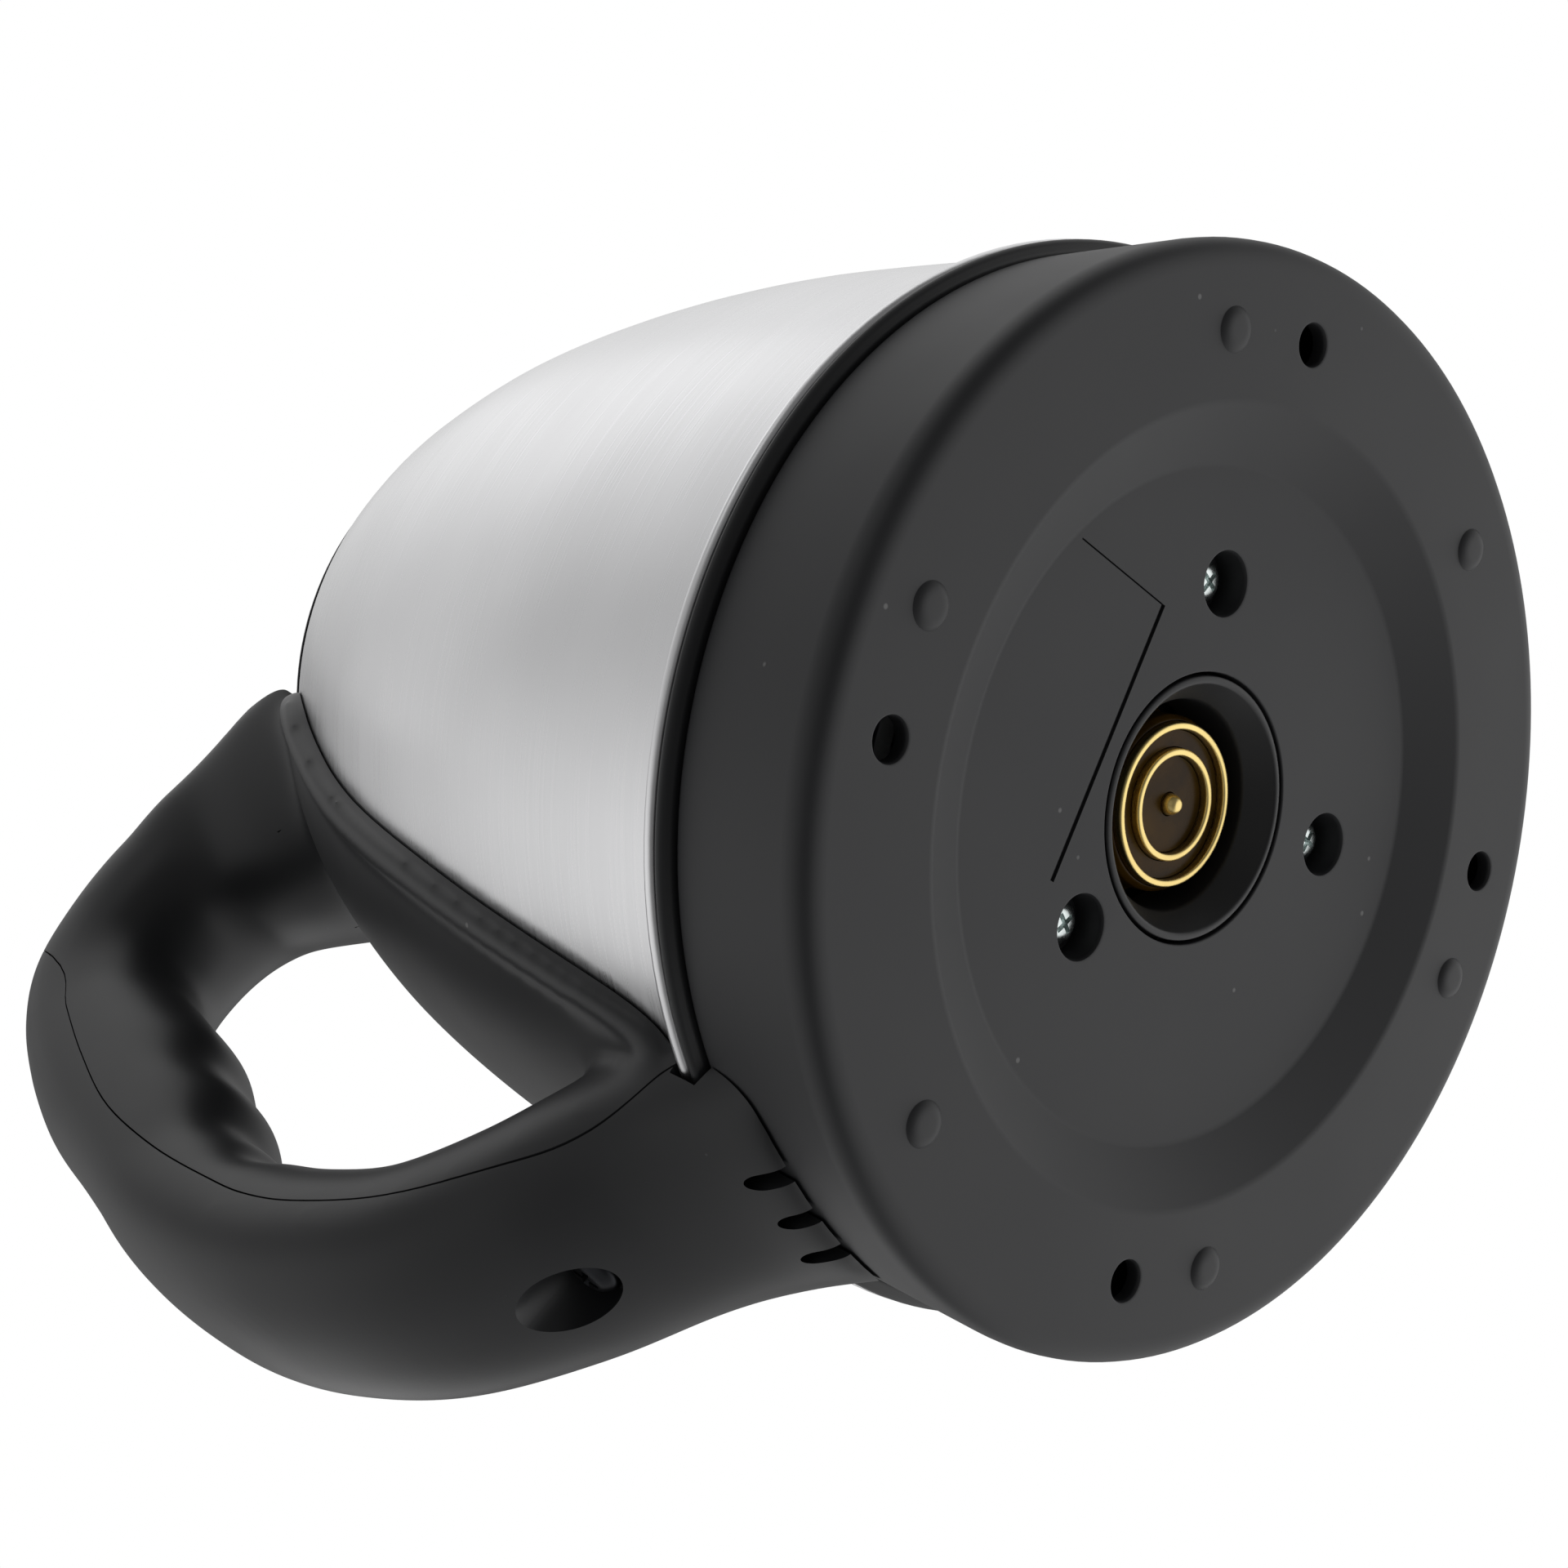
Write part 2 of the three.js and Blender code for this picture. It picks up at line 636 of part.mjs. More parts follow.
function baseCover() {
  const round = [];
  const roundSteps = 4;
  for (let i = 0; i <= roundSteps; i++) {
    const angle = -Math.PI / 2 + (i / roundSteps) * (Math.PI / 2);
    const middle = BASE_RADIUS - BASE_ROUND;
    round.push([middle + BASE_ROUND * Math.cos(angle), BASE_ROUND * (1 + Math.sin(angle))]);
  }
  let cover = turned([
    [SOCKET_RADIUS + GAP, RECESS_DEPTH],
    [RECESS_INNER, RECESS_DEPTH],
    [RECESS_OUTER, 0],
    ...round,
    [SKIRT_TOP_RADIUS, SKIRT_TOP],
    [SKIRT_TOP_RADIUS - BASE_WALL, SKIRT_TOP],
    [BASE_RADIUS - BASE_WALL, BASE_ROUND + 1],
    [BASE_RADIUS - BASE_ROUND, BASE_WALL],
    [RECESS_OUTER + 0.6, BASE_WALL],
    [RECESS_INNER + 0.6, RECESS_DEPTH + BASE_WALL],
    [SOCKET_RADIUS + GAP, RECESS_DEPTH + BASE_WALL],
  ]);
  for (let i = 0; i < FEET; i++) {
    const [x, y] = polar(FEATURE_RADIUS, FEET_TURN + (i * 360) / FEET);
    const foot = turned([[0, -FOOT_HEIGHT], [2.2, -FOOT_HEIGHT], [3.1, -0.4], [3.4, 0.6], [0, 0.6]], 14);
    cover = cover.add(foot.translate(x, y, 0));
  }
  for (let i = 0; i < DRAINS; i++) {
    const [x, y] = polar(FEATURE_RADIUS, DRAIN_TURN + (i * 360) / DRAINS);
    cover = cover.subtract(rod(3, -2, 6, x, y));
  }
  for (const { radius, angle } of COVER_SCREWS) {
    const [x, y] = polar(radius, angle);
    const well = rod(SCREW_WELL_RADIUS + 1.4, RECESS_DEPTH + 0.5, 12.4, x, y);
    cover = cover
      .add(well)
      .subtract(rod(SCREW_WELL_RADIUS, -1, 11, x, y))
      .subtract(rod(1.8, 5, 14, x, y, 12));
  }
  // The groove round two sides of the blank rating panel.
  const panel = new THREE.Matrix4().makeRotationZ(-20.5 * DEG);
  const groove = (x0, x1, y0, y1) => solid(
    new THREE.BoxGeometry(x1 - x0, y1 - y0, 1)
      .translate((x0 + x1) / 2, (y0 + y1) / 2, RECESS_DEPTH)
      .applyMatrix4(panel),
  );
  const longSide = groove(-20.9, 21.2, -22.9, -22.3);
  const shortSide = groove(20.8, 21.2, -42.6, -22.3);
  return cover.subtract(longSide).subtract(shortSide);
}

function lipRing() {
  return turned([
    [74, SKIRT_TOP + GAP],
    [78.6, SKIRT_TOP + GAP],
    [79.6, 27.7],
    [80.2, 28.4],
    [79.9, 29.1],
    [74, 29.1],
  ]);
}

// A screw with a cross in its head, head down at z, standing at x, y.
function coverScrew({ radius, angle }) {
  const [x, y] = polar(radius, angle);
  const outline = [[0, 8.6], [1.6, 8.6], [3, 9.2], [3.4, 10.7], [1.5, 10.7], [1.5, 18], [0, 18.6]];
  const body = turned(outline, SMALL_STEPS);
  const slot = block(-2.2, 2.2, -0.45, 0.45, 8, 9.6).add(block(-0.45, 0.45, -2.2, 2.2, 8, 9.6));
  return body.subtract(slot).rotate([0, 0, angle]).translate(x, y, 0);
}

function handleScrew() {
  const body = turned([[0, 0], [2.6, 0], [4.2, 1], [4.4, 2.6], [1.9, 2.6], [1.9, 15], [0, 15.6]], 16);
  const slot = block(-2.8, 2.8, -0.5, 0.5, -1, 1.2).add(block(-0.5, 0.5, -2.8, 2.8, -1, 1.2));
  return body.subtract(slot).rotate([0, 90, 0]).translate(SCREW_X - 2.9, 0, SCREW_Z);
}

// ---------------------------------------------------------------- socket and control
function socketBezel() {
  return turned([
    [SOCKET_RADIUS - 0.2, RECESS_DEPTH + 0.1],
    [SOCKET_RADIUS - 1.2, RECESS_DEPTH - 0.1],
    [15.3, 8.3],
    [15.3, 17],
    [17, 17],
    [17, 9.2],
    [SOCKET_RADIUS - 0.2, 7.4],
  ], 26);
}

function contactRing(outer, z0) {
  return turned([
    [outer, z0 + 0.4],
    [outer - 0.3, z0],
    [outer - 0.8, z0],
    [outer - 1.1, z0 + 0.4],
    [outer - 1.1, 20.6],
    [outer, 20.6],
  ], 28);
}

// The insulator that holds the rings: a disc with a raised boss between them and round the pin.
function socketInsulator() {
  const ringSlot = (outer, inner) => turned([[outer, 18], [outer, 20.9], [inner, 20.9], [inner, 18]], 24);
  return turned([[0, 13], [6.7, 13], [6.7, 19.5], [15, 19.5], [15, 21.6], [0, 21.6]], 26)
    .subtract(ringSlot(12.2, 10.7))
    .subtract(ringSlot(8.4, 6.9))
    .subtract(rod(1.9, 10, 25));
}

function controlBody() {
  return turned([
    [0, 22],
    [17.6, 22],
    [17.6, 17.4],
    [24, 17.4],
    [24, 24.6],
    [21, 26.2],
    [0, 26.2],
  ], 26);
}

// ---------------------------------------------------------------- heater
const ELEMENT_RADIUS = 40; // of the heating element's ring
const ELEMENT_Z = 27.1;
const ELEMENT_OPENING = 22; // half the angle between its ends, in degrees

// The kettle's floor: a dished steel plate inside the body.
function waterFloor() {
  return turned([
    [0, 34],
    [74, 34],
    [75.5, 36],
    [75.5, 42],
    [74.8, 42],
    [74.8, 36.4],
    [73.4, 34.8],
    [0, 34.8],
  ]);
}

const heaterPlate = () => turned([[0, 30.6], [49.4, 30.6], [50, 31.4], [50, 33.7], [0, 33.7]]);

function heatingElement() {
  class OpenRing extends THREE.Curve {
    getPoint(t, target = new THREE.Vector3()) {
      const angle = (ELEMENT_OPENING + t * (360 - 2 * ELEMENT_OPENING)) * DEG;
      target.set(-Math.cos(angle), Math.sin(angle), 0);
      return target.multiplyScalar(ELEMENT_RADIUS).setZ(ELEMENT_Z);
    }
  }
  return wireAlong(new OpenRing(), 3.2, 30);
}

// A flat tab from one end of the element to the control.
function elementTab(side) {
  const [x, y] = polar(ELEMENT_RADIUS, 180 - side * (ELEMENT_OPENING + 4));
  return block(x - 2, -20, y - 3, y + 3, 22.6, 23.5).subtract(rod(24.3, 10, 30));
}

// The snap-action disc between the control and the heater plate.
const bimetalDisc = () => turned([[0, 28.4], [9, 27.4], [9, 28], [0, 29]], 24);

const floorSeal = () => turned([[71, 29.5], [75.7, 29.5], [75.7, 33], [74, 33.7], [71, 33.7]]);

// ---------------------------------------------------------------- assembly
const kettle = new THREE.Group();
kettle.position.set(AXIS_X, 0, FOOT_HEIGHT);

function put(name, shape, finish) {
  const made = shape.getMesh();
  const corners = new Float32Array(made.numVert * 3);
  for (let i = 0; i < made.numVert; i++)
    corners.set(made.vertProperties.subarray(i * made.numProp, i * made.numProp + 3), i * 3);
  const geometry = new THREE.BufferGeometry();
  geometry.setAttribute("position", new THREE.BufferAttribute(corners, 3));
  geometry.setIndex(new THREE.BufferAttribute(made.triVerts, 1));
  geometry.computeVertexNormals();
  const mesh = new THREE.Mesh(geometry, finish);
  mesh.name = name;
  kettle.add(mesh);
}

put("steel_body", steelBody(), BRUSHED_STEEL);
put("spout", spout(), BRUSHED_STEEL);
put("spout_filter", spoutFilter(), BRUSHED_STEEL);
put("top_collar", topCollar(), BLACK_PLASTIC);
put("lid_shell", lidShell(), BLACK_PLASTIC);
put("lid_plate", lidPlate(), BRUSHED_STEEL);
put("lid_seal", lidSeal(), SILICONE);
put("lid_button", lidButton(), BLACK_PLASTIC);
put("button_spring", buttonSpring(), ZINC);
put("latch_bolt", latchBolt(), INNER_PLASTIC);
put("hinge_pin", pinAlongY(1.5, 26, HINGE_X, HINGE_Z), ZINC);
put("handle_core", handleCore(), BLACK_PLASTIC);
put("handle_shell", handleShell(), BLACK_PLASTIC);
put("handle_screw", handleScrew(), ZINC);
put("handle_bracket", handleBracket(), BRUSHED_STEEL);
put("switch_rocker", switchRocker(), BLACK_PLASTIC);
put("rocker_pin", rockerPin(), ZINC);
put("steam_switch", steamSwitch(), INNER_PLASTIC);
put("base_cover", baseCover(), BASE_PLASTIC);
put("lip_ring", lipRing(), BLACK_PLASTIC);
COVER_SCREWS.forEach((place, i) => put(`cover_screw_${i + 1}`, coverScrew(place), ZINC));
put("socket_bezel", socketBezel(), BLACK_PLASTIC);
put("socket_insulator", socketInsulator(), AMBER_PLASTIC);
put("contact_ring_outer", contactRing(12, 8), BRASS);
put("contact_ring_inner", contactRing(8.2, 8), BRASS);
put("contact_pin", turned([[0, 7.4], [1, 7.4], [1.6, 8.2], [1.6, 21], [0, 21]], 16), BRASS);
put("control_body", controlBody(), INNER_PLASTIC);
put("bimetal_disc", bimetalDisc(), BIMETAL);
put("heating_element", heatingElement(), ALUMINIUM);
put("element_tab_left", elementTab(1), ALUMINIUM);
put("element_tab_right", elementTab(-1), ALUMINIUM);
put("heater_plate", heaterPlate(), ALUMINIUM);
put("water_floor", waterFloor(), BRUSHED_STEEL);
put("floor_seal", floorSeal(), SILICONE);

export default kettle;
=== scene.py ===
"""Looks of the cordless kettle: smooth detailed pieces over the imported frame, studio stage, camera."""

import json
import math

import bmesh
import bpy
import numpy as np
from mathutils import Matrix, Vector


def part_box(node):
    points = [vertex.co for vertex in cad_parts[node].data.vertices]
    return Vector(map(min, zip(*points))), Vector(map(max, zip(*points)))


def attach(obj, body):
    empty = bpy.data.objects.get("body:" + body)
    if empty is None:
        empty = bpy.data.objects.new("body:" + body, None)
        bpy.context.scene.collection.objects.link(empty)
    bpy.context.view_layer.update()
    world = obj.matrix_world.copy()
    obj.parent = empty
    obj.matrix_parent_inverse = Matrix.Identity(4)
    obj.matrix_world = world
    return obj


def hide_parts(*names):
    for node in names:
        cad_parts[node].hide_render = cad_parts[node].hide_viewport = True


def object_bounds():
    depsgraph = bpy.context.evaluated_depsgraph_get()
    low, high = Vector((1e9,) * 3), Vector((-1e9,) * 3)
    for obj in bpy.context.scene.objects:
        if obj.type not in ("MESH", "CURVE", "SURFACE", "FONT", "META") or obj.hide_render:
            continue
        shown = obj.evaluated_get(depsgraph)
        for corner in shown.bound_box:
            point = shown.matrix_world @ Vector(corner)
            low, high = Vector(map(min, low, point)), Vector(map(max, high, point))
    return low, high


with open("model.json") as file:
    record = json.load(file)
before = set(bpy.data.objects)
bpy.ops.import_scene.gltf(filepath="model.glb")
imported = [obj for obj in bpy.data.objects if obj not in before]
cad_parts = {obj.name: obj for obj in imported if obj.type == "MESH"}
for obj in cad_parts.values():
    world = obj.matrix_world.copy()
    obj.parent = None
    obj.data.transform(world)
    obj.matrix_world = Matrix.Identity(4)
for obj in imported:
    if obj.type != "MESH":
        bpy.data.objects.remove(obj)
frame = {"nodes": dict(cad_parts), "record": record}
cad_low, cad_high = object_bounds()

# ---------------------------------------------------------------- where the kettle stands
# Pieces are drawn in millimetres about the kettle's own axis, with z = 0 on the base's underside,
# and are then put in the row frame. The lip ring gives the axis and the height.
MM = 0.001
GAP = 0.3
SKIRT_TOP = 26.7
ring_low, ring_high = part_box("lip_ring")
ORIGIN = Vector(((ring_low.x + ring_high.x) / 2, 0, ring_low.z - (SKIRT_TOP + GAP) * MM))
PLACE = Matrix.Translation(ORIGIN) @ Matrix.Diagonal((MM, MM, MM, 1))

BASE_RADIUS = 80.3
SKIRT_TOP_RADIUS = 77.8
RECESS_OUTER = 57.6
RECESS_INNER = 48.8
RECESS_DEPTH = 4.2
RIM_Z = 30.6
RIM_RADIUS = 79.7
STEEL = 0.8
MOUTH_Z = 167
MOUTH_RADIUS = 44.6
HANDLE_WALL = 2.6
HOLLOW_START = 54.4
COLLAR_CLEAR = 47.3
SPINE_FACE = 2.1
SPINE_LIP = 3.7
SPINE_LIP_WIDTH = 4.6
SOCKET_RADIUS = 19.3
HINGE_X = -48
HINGE_Z = 173.4
LID_RADIUS = 41.2
BUTTON_X = 16
GRIP_SCREW_X = -97.5
GRIP_SCREW_Z = 45.5


# ---------------------------------------------------------------- mesh helpers
def new_object(verts, faces):
    mesh = bpy.data.meshes.new("work")
    mesh.from_pydata([tuple(v) for v in verts], [], faces)
    work = bmesh.new()
    work.from_mesh(mesh)
    bmesh.ops.recalc_face_normals(work, faces=work.faces)
    work.to_mesh(mesh)
    work.free()
    made = bpy.data.objects.new("work", mesh)
    bpy.context.scene.collection.objects.link(made)
    return made


def remove(*objects):
    for o in objects:
        mesh = o.data
        bpy.data.objects.remove(o)
        bpy.data.meshes.remove(mesh)


def apply_modifiers(obj):
    bpy.context.view_layer.update()
    graph = bpy.context.evaluated_depsgraph_get()
    mesh = bpy.data.meshes.new_from_object(obj.evaluated_get(graph))
    obj.modifiers.clear()
    old = obj.data
    obj.data = mesh
    bpy.data.meshes.remove(old)
    return obj


def combine(obj, operation, *others):
    """Boolean of obj with each of the others, which are used up."""
    for other in others:
        step = obj.modifiers.new("combine", "BOOLEAN")
        step.operation = operation
        step.solver = "MANIFOLD"
        step.object = other
        apply_modifiers(obj)
        remove(other)
    return obj


def cut(obj, *others):
    return combine(obj, "DIFFERENCE", *others)


def join(obj, *others):
    return combine(obj, "UNION", *others)


def keep(obj, *others):
    return combine(obj, "INTERSECT", *others)


def copy_of(obj):
    made = bpy.data.objects.new("work", obj.data.copy())
    bpy.context.scene.collection.objects.link(made)
    return made


def moved(obj, *shift):
    obj.data.transform(Matrix.Translation(Vector(shift)))
    return obj


def turned_by(obj, degrees, axis):
    obj.data.transform(Matrix.Rotation(math.radians(degrees), 4, axis))
    return obj


def rounded(outline, radius=0.4, steps=4):
    """A closed outline with its corners rounded. A point may carry its own radius as a third number."""
    count = len(outline)
    made = []
    for i, point in enumerate(outline):
        here = np.array(point[:2], float)
        if here[0] < 1e-6:
            made.append(tuple(here))
            continue
        before = np.array(outline[i - 1][:2], float) - here
        after = np.array(outline[(i + 1) % count][:2], float) - here
        reach = point[2] if len(point) > 2 else radius
        back = min(reach, 0.45 * np.linalg.norm(before))
        on = min(reach, 0.45 * np.linalg.norm(after))
        start = here + before / np.linalg.norm(before) * back
        end = here + after / np.linalg.norm(after) * on
        for k in range(steps + 1):
            s = k / steps
            made.append(tuple((1 - s) ** 2 * start + 2 * s * (1 - s) * here + s * s * end))
    return made


def turned(outline, steps=144):
    """A closed body turned about Z from an outline of (radius, z)."""
    verts, rings, faces = [], [], []
    for r, z in outline:
        if r < 1e-6:
            rings.append([len(verts)])
            verts.append((0, 0, z))
            continue
        rings.append(list(range(len(verts), len(verts) + steps)))
        for k in range(steps):
            angle = 2 * math.pi * k / steps
            verts.append((r * math.cos(angle), r * math.sin(angle), z))
    for low, high in zip(rings, rings[1:] + rings[:1]):
        for k in range(steps):
            j = (k + 1) % steps
            if len(low) > 1 and len(high) > 1:
                faces.append((low[k], low[j], high[j], high[k]))
            elif len(low) > 1:
                faces.append((low[k], low[j], high[0]))
            elif len(high) > 1:
                faces.append((low[0], high[j], high[k]))
    return new_object(verts, faces)


def rod(radius, z0, z1, x=0, y=0, steps=48):
    return moved(turned([(0, z0), (radius, z0), (radius, z1), (0, z1)], steps), x, y, 0)


def rod_along_y(radius, length, x, z, steps=48):
    return moved(turned_by(rod(radius, -length / 2, length / 2, steps=steps), 90, "X"), x, 0, z)


def rod_along_x(radius, x0, x1, z, steps=64):
    return moved(turned_by(rod(radius, x0, x1, steps=steps), 90, "Y"), 0, 0, z)


def block(x0, x1, y0, y1, z0, z1):
    verts = [(x, y, z) for x in (x0, x1) for y in (y0, y1) for z in (z0, z1)]
    faces = [(0, 1, 3, 2), (4, 6, 7, 5), (0, 4, 5, 1), (2, 3, 7, 6), (0, 2, 6, 4), (1, 5, 7, 3)]
    return new_object(verts, faces)


def loft(rings):
    size = len(rings[0])
    verts = [p for ring in rings for p in ring]
    faces = []
    for i in range(len(rings) - 1):
        for j in range(size):
            k = (j + 1) % size
            faces.append((i * size + j, i * size + k, (i + 1) * size + k, (i + 1) * size + j))
    faces.append(tuple(range(size)))
    faces.append(tuple(range((len(rings) - 1) * size, len(rings) * size)))
    return new_object(verts, faces)


def plate_along_y(outline, y0, y1):
    """A plate whose outline of (x, z) is drawn from the side."""
    return loft([[(x, y, z) for x, z in outline] for y in (y0, y1)])


def bevelled(obj, width, segments=3, angle=30):
    step = obj.modifiers.new("bevel", "BEVEL")
    step.width = width
    step.segments = segments
    step.limit_method = "ANGLE"
    step.angle_limit = math.radians(angle)
    return apply_modifiers(obj)


def curve_point(points, t, power=0.0):
    """A point at share t of a Catmull-Rom curve: power 0 is the uniform kind, 0.25 the centripetal."""
    points = np.asarray(points, float)
    last = len(points) - 1
    place = min(t, 1 - 1e-9) * last
    i = int(place)
    s = place - i
    p1, p2 = points[i], points[i + 1]
    if power:
        p0 = points[i - 1] if i > 0 else 2 * p1 - p2
        p3 = points[i + 2] if i < last - 1 else 2 * p2 - p1
        d0, d1, d2 = (max(((b - a) @ (b - a)) ** power, 1e-4) for a, b in ((p0, p1), (p1, p2), (p2, p3)))
        v1 = ((p1 - p0) / d0 - (p2 - p0) / (d0 + d1) + (p2 - p1) / d1) * d1
        v2 = ((p2 - p1) / d1 - (p3 - p1) / (d1 + d2) + (p3 - p2) / d2) * d1
    else:
        p0 = points[max(i - 1, 0)]
        p3 = points[min(i + 2, last)]
        v1, v2 = (p2 - p0) / 2, (p3 - p1) / 2
    a = 2 * p1 - 2 * p2 + v1 + v2
    b = -3 * p1 + 3 * p2 - 2 * v1 - v2
    return a * s**3 + b * s**2 + v1 * s + p1


def publish(obj, name, body, material, replaces, angle=32):
    """Puts a drawn piece in the row frame under its name, with its finish and its body."""
    obj.data.transform(PLACE)
    obj.name = name
    obj.data.name = name
    obj.data.polygons.foreach_set("use_smooth", [True] * len(obj.data.polygons))
    obj.data.set_sharp_from_angle(angle=math.radians(angle))
    obj.data.materials.clear()
    obj.data.materials.append(material)
    obj.modifiers.new("flat faces stay flat", "WEIGHTED_NORMAL").keep_sharp = True
    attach(obj, body)
    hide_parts(*replaces)


# ---------------------------------------------------------------- materials
def new_material(name):
    material = bpy.data.materials.new(name)
    material.use_nodes = True
    nodes, links = material.node_tree.nodes, material.node_tree.links
    shader = nodes["Principled BSDF"]
    place = nodes.new("ShaderNodeTexCoord").outputs["Object"]
    return material, nodes, links, shader, place


def noise(nodes, links, place, scale, stretch=(1, 1, 1), detail=3.0, roughness=0.5):
    mapping = nodes.new("ShaderNodeMapping")
    mapping.inputs["Scale"].default_value = stretch
    links.new(place, mapping.inputs["Vector"])
    texture = nodes.new("ShaderNodeTexNoise")
    texture.inputs["Scale"].default_value = scale
    texture.inputs["Detail"].default_value = detail
    texture.inputs["Roughness"].default_value = roughness
    links.new(mapping.outputs["Vector"], texture.inputs["Vector"])
    return texture.outputs["Fac"]


def ramp(nodes, links, source, stops):
    """A colour ramp; stops are (position, colour) pairs, where a colour may be one grey number."""
    made = nodes.new("ShaderNodeValToRGB")
    elements = made.color_ramp.elements
    while len(elements) < len(stops):
        elements.new(0.5)
    for element, (position, colour) in zip(elements, stops):
        element.position = position
        element.color = (*colour, 1) if isinstance(colour, tuple) else (colour, colour, colour, 1)
    links.new(source, made.inputs["Fac"])
    return made.outputs["Color"]


def bump(nodes, links, shader, height, strength, distance):
    node = nodes.new("ShaderNodeBump")
    node.inputs["Strength"].default_value = strength
    node.inputs["Distance"].default_value = distance
    links.new(height, node.inputs["Height"])
    links.new(node.outputs["Normal"], shader.inputs["Normal"])


def plastic(name, colour, rough, grain=2600, dust=0.0):
    """Moulded plastic: faint mottling, a fine spark-eroded grain and, where asked for, specks of dust."""
    material, nodes, links, shader, place = new_material(name)
    mottle = noise(nodes, links, place, 22, detail=4)
    low = tuple(c * 0.88 for c in colour)
    high = tuple(c * 1.14 for c in colour)
    tone = ramp(nodes, links, mottle, [(0.3, low), (0.7, high)])
    if dust:
        cells = nodes.new("ShaderNodeTexVoronoi")
        cells.inputs["Scale"].default_value = 75
        links.new(place, cells.inputs["Vector"])
        specks = ramp(nodes, links, cells.outputs["Distance"], [(0.0, 1.0), (0.02, 1.0), (0.035, 0.0)])
        mix = nodes.new("ShaderNodeMix")
        mix.data_type = "RGBA"
        mix.inputs[7].default_value = (dust, dust, dust, 1)
        links.new(specks, mix.inputs[0])
        links.new(tone, mix.inputs[6])
        tone = mix.outputs[2]
    links.new(tone, shader.inputs["Base Color"])
    rough_tone = ramp(nodes, links, mottle, [(0.25, rough - 0.04), (0.75, rough + 0.05)])
    links.new(rough_tone, shader.inputs["Roughness"])
    shader.inputs["Specular IOR Level"].default_value = 0.45
    bump(nodes, links, shader, noise(nodes, links, place, grain, detail=2), 0.35, 0.00002)
    return material


def metal(name, colour, rough, stretch=(1, 1, 1), scale=300, depth=0.00001, spread=0.08):
    """Metal with fine drawn or brushed lines, across the direction that stretch scales up most."""
    material, nodes, links, shader, place = new_material(name)
    lines = noise(nodes, links, place, scale, stretch, detail=5, roughness=0.65)
    patches = noise(nodes, links, place, 18, detail=3)
    low = tuple(c * 0.93 for c in colour)
    high = tuple(min(c * 1.05, 1) for c in colour)
    links.new(ramp(nodes, links, patches, [(0.3, low), (0.7, high)]), shader.inputs["Base Color"])
    links.new(
        ramp(nodes, links, lines, [(0.3, rough - spread), (0.7, rough + spread)]),
        shader.inputs["Roughness"],
    )
    shader.inputs["Metallic"].default_value = 1.0
    bump(nodes, links, shader, lines, 0.3, depth)
    return material


HANDLE_PLASTIC = plastic("handle_plastic", (0.018, 0.0185, 0.02), 0.4, dust=0.12)
BASE_PLASTIC = plastic("base_plastic", (0.021, 0.0215, 0.0235), 0.5, grain=3400, dust=0.14)
INNER_PLASTIC = plastic("inner_plastic", (0.012, 0.012, 0.013), 0.6)
BODY_STEEL = metal("body_steel", (0.84, 0.84, 0.85), 0.3, (1, 1, 90), 30, 0.000002, 0.05)
RIM_STEEL = metal("rim_steel", (0.88, 0.88, 0.88), 0.2, (1, 1, 40), 60, 0.000004, 0.05)
ZINC = metal("zinc_plate", (0.8, 0.86, 0.85), 0.26, scale=700, depth=0.00003)
BRASS = metal("contact_brass", (1.0, 0.76, 0.3), 0.3, (1, 1, 30), 260)
# Near-black metal for the grip screw: its dark colour is painted shade for the depth of the hole the screw
# sits in.
PAINTED_SHADE_SCREW_STEEL = metal("grip_screw_painted_shade", (0.03, 0.031, 0.034), 0.4, scale=500, depth=0.00002)
ALUMINIUM = metal("plain_aluminium", (0.6, 0.61, 0.62), 0.45, scale=400)
BIMETAL = metal("bimetal", (0.5, 0.36, 0.2), 0.4, (1, 20, 1), 200)
SILICONE = plastic("grey_silicone", (0.16, 0.165, 0.17), 0.65)


def amber_resin():
    """Dark amber moulding resin with flow streaks and a polished skin."""
    material, nodes, links, shader, place = new_material("amber_resin")
    streaks = noise(nodes, links, place, 160, (1, 1, 0.3), detail=4)
    colours = [(0.3, (0.03, 0.014, 0.001)), (0.75, (0.085, 0.042, 0.003))]
    links.new(ramp(nodes, links, streaks, colours), shader.inputs["Base Color"])
    links.new(ramp(nodes, links, streaks, [(0.2, 0.2), (0.8, 0.36)]), shader.inputs["Roughness"])
    shader.inputs["Specular IOR Level"].default_value = 0.12
    bump(nodes, links, shader, streaks, 0.2, 0.00003)
    return material


AMBER = amber_resin()
CAD_FINISH = {
    "brushed_steel": BODY_STEEL,
    "black_plastic": HANDLE_PLASTIC,
    "base_plastic": BASE_PLASTIC,
    "inner_plastic": INNER_PLASTIC,
    "amber_plastic": AMBER,
    "brass": BRASS,
    "zinc": ZINC,
    "aluminium": ALUMINIUM,
    "bimetal": BIMETAL,
    "silicone": SILICONE,
}
for subpart in frame["record"]["subparts"]:
    node = frame["nodes"][subpart["node"]]
    node.data.materials.clear()
    node.data.materials.append(CAD_FINISH[subpart["material_slot"]])

# ---------------------------------------------------------------- the body's outline
# Points of the steel's side as (radius, z), from the rim up to the mouth.
BODY_OUTLINE = [
    (77.3, 31.4),
    (76.6, 50),
    (74.7, 75),
    (70.8, 100),
    (64.8, 125),
    (57.6, 145),
    (52.4, 156),
    (48.2, 163.3),
    (MOUTH_RADIUS, MOUTH_Z),
]


def body_side(offset, steps=56):
    """The body's outline moved outwards by offset, from the rim up to the mouth."""
    points = [curve_point(BODY_OUTLINE, i / steps) for i in range(steps + 1)]
    side = []
    for i, point in enumerate(points):
        along = points[min(i + 1, steps)] - points[max(i - 1, 0)]
        along /= np.linalg.norm(along)
        side.append((point[0] + along[1] * offset, point[1] - along[0] * offset))
    return side


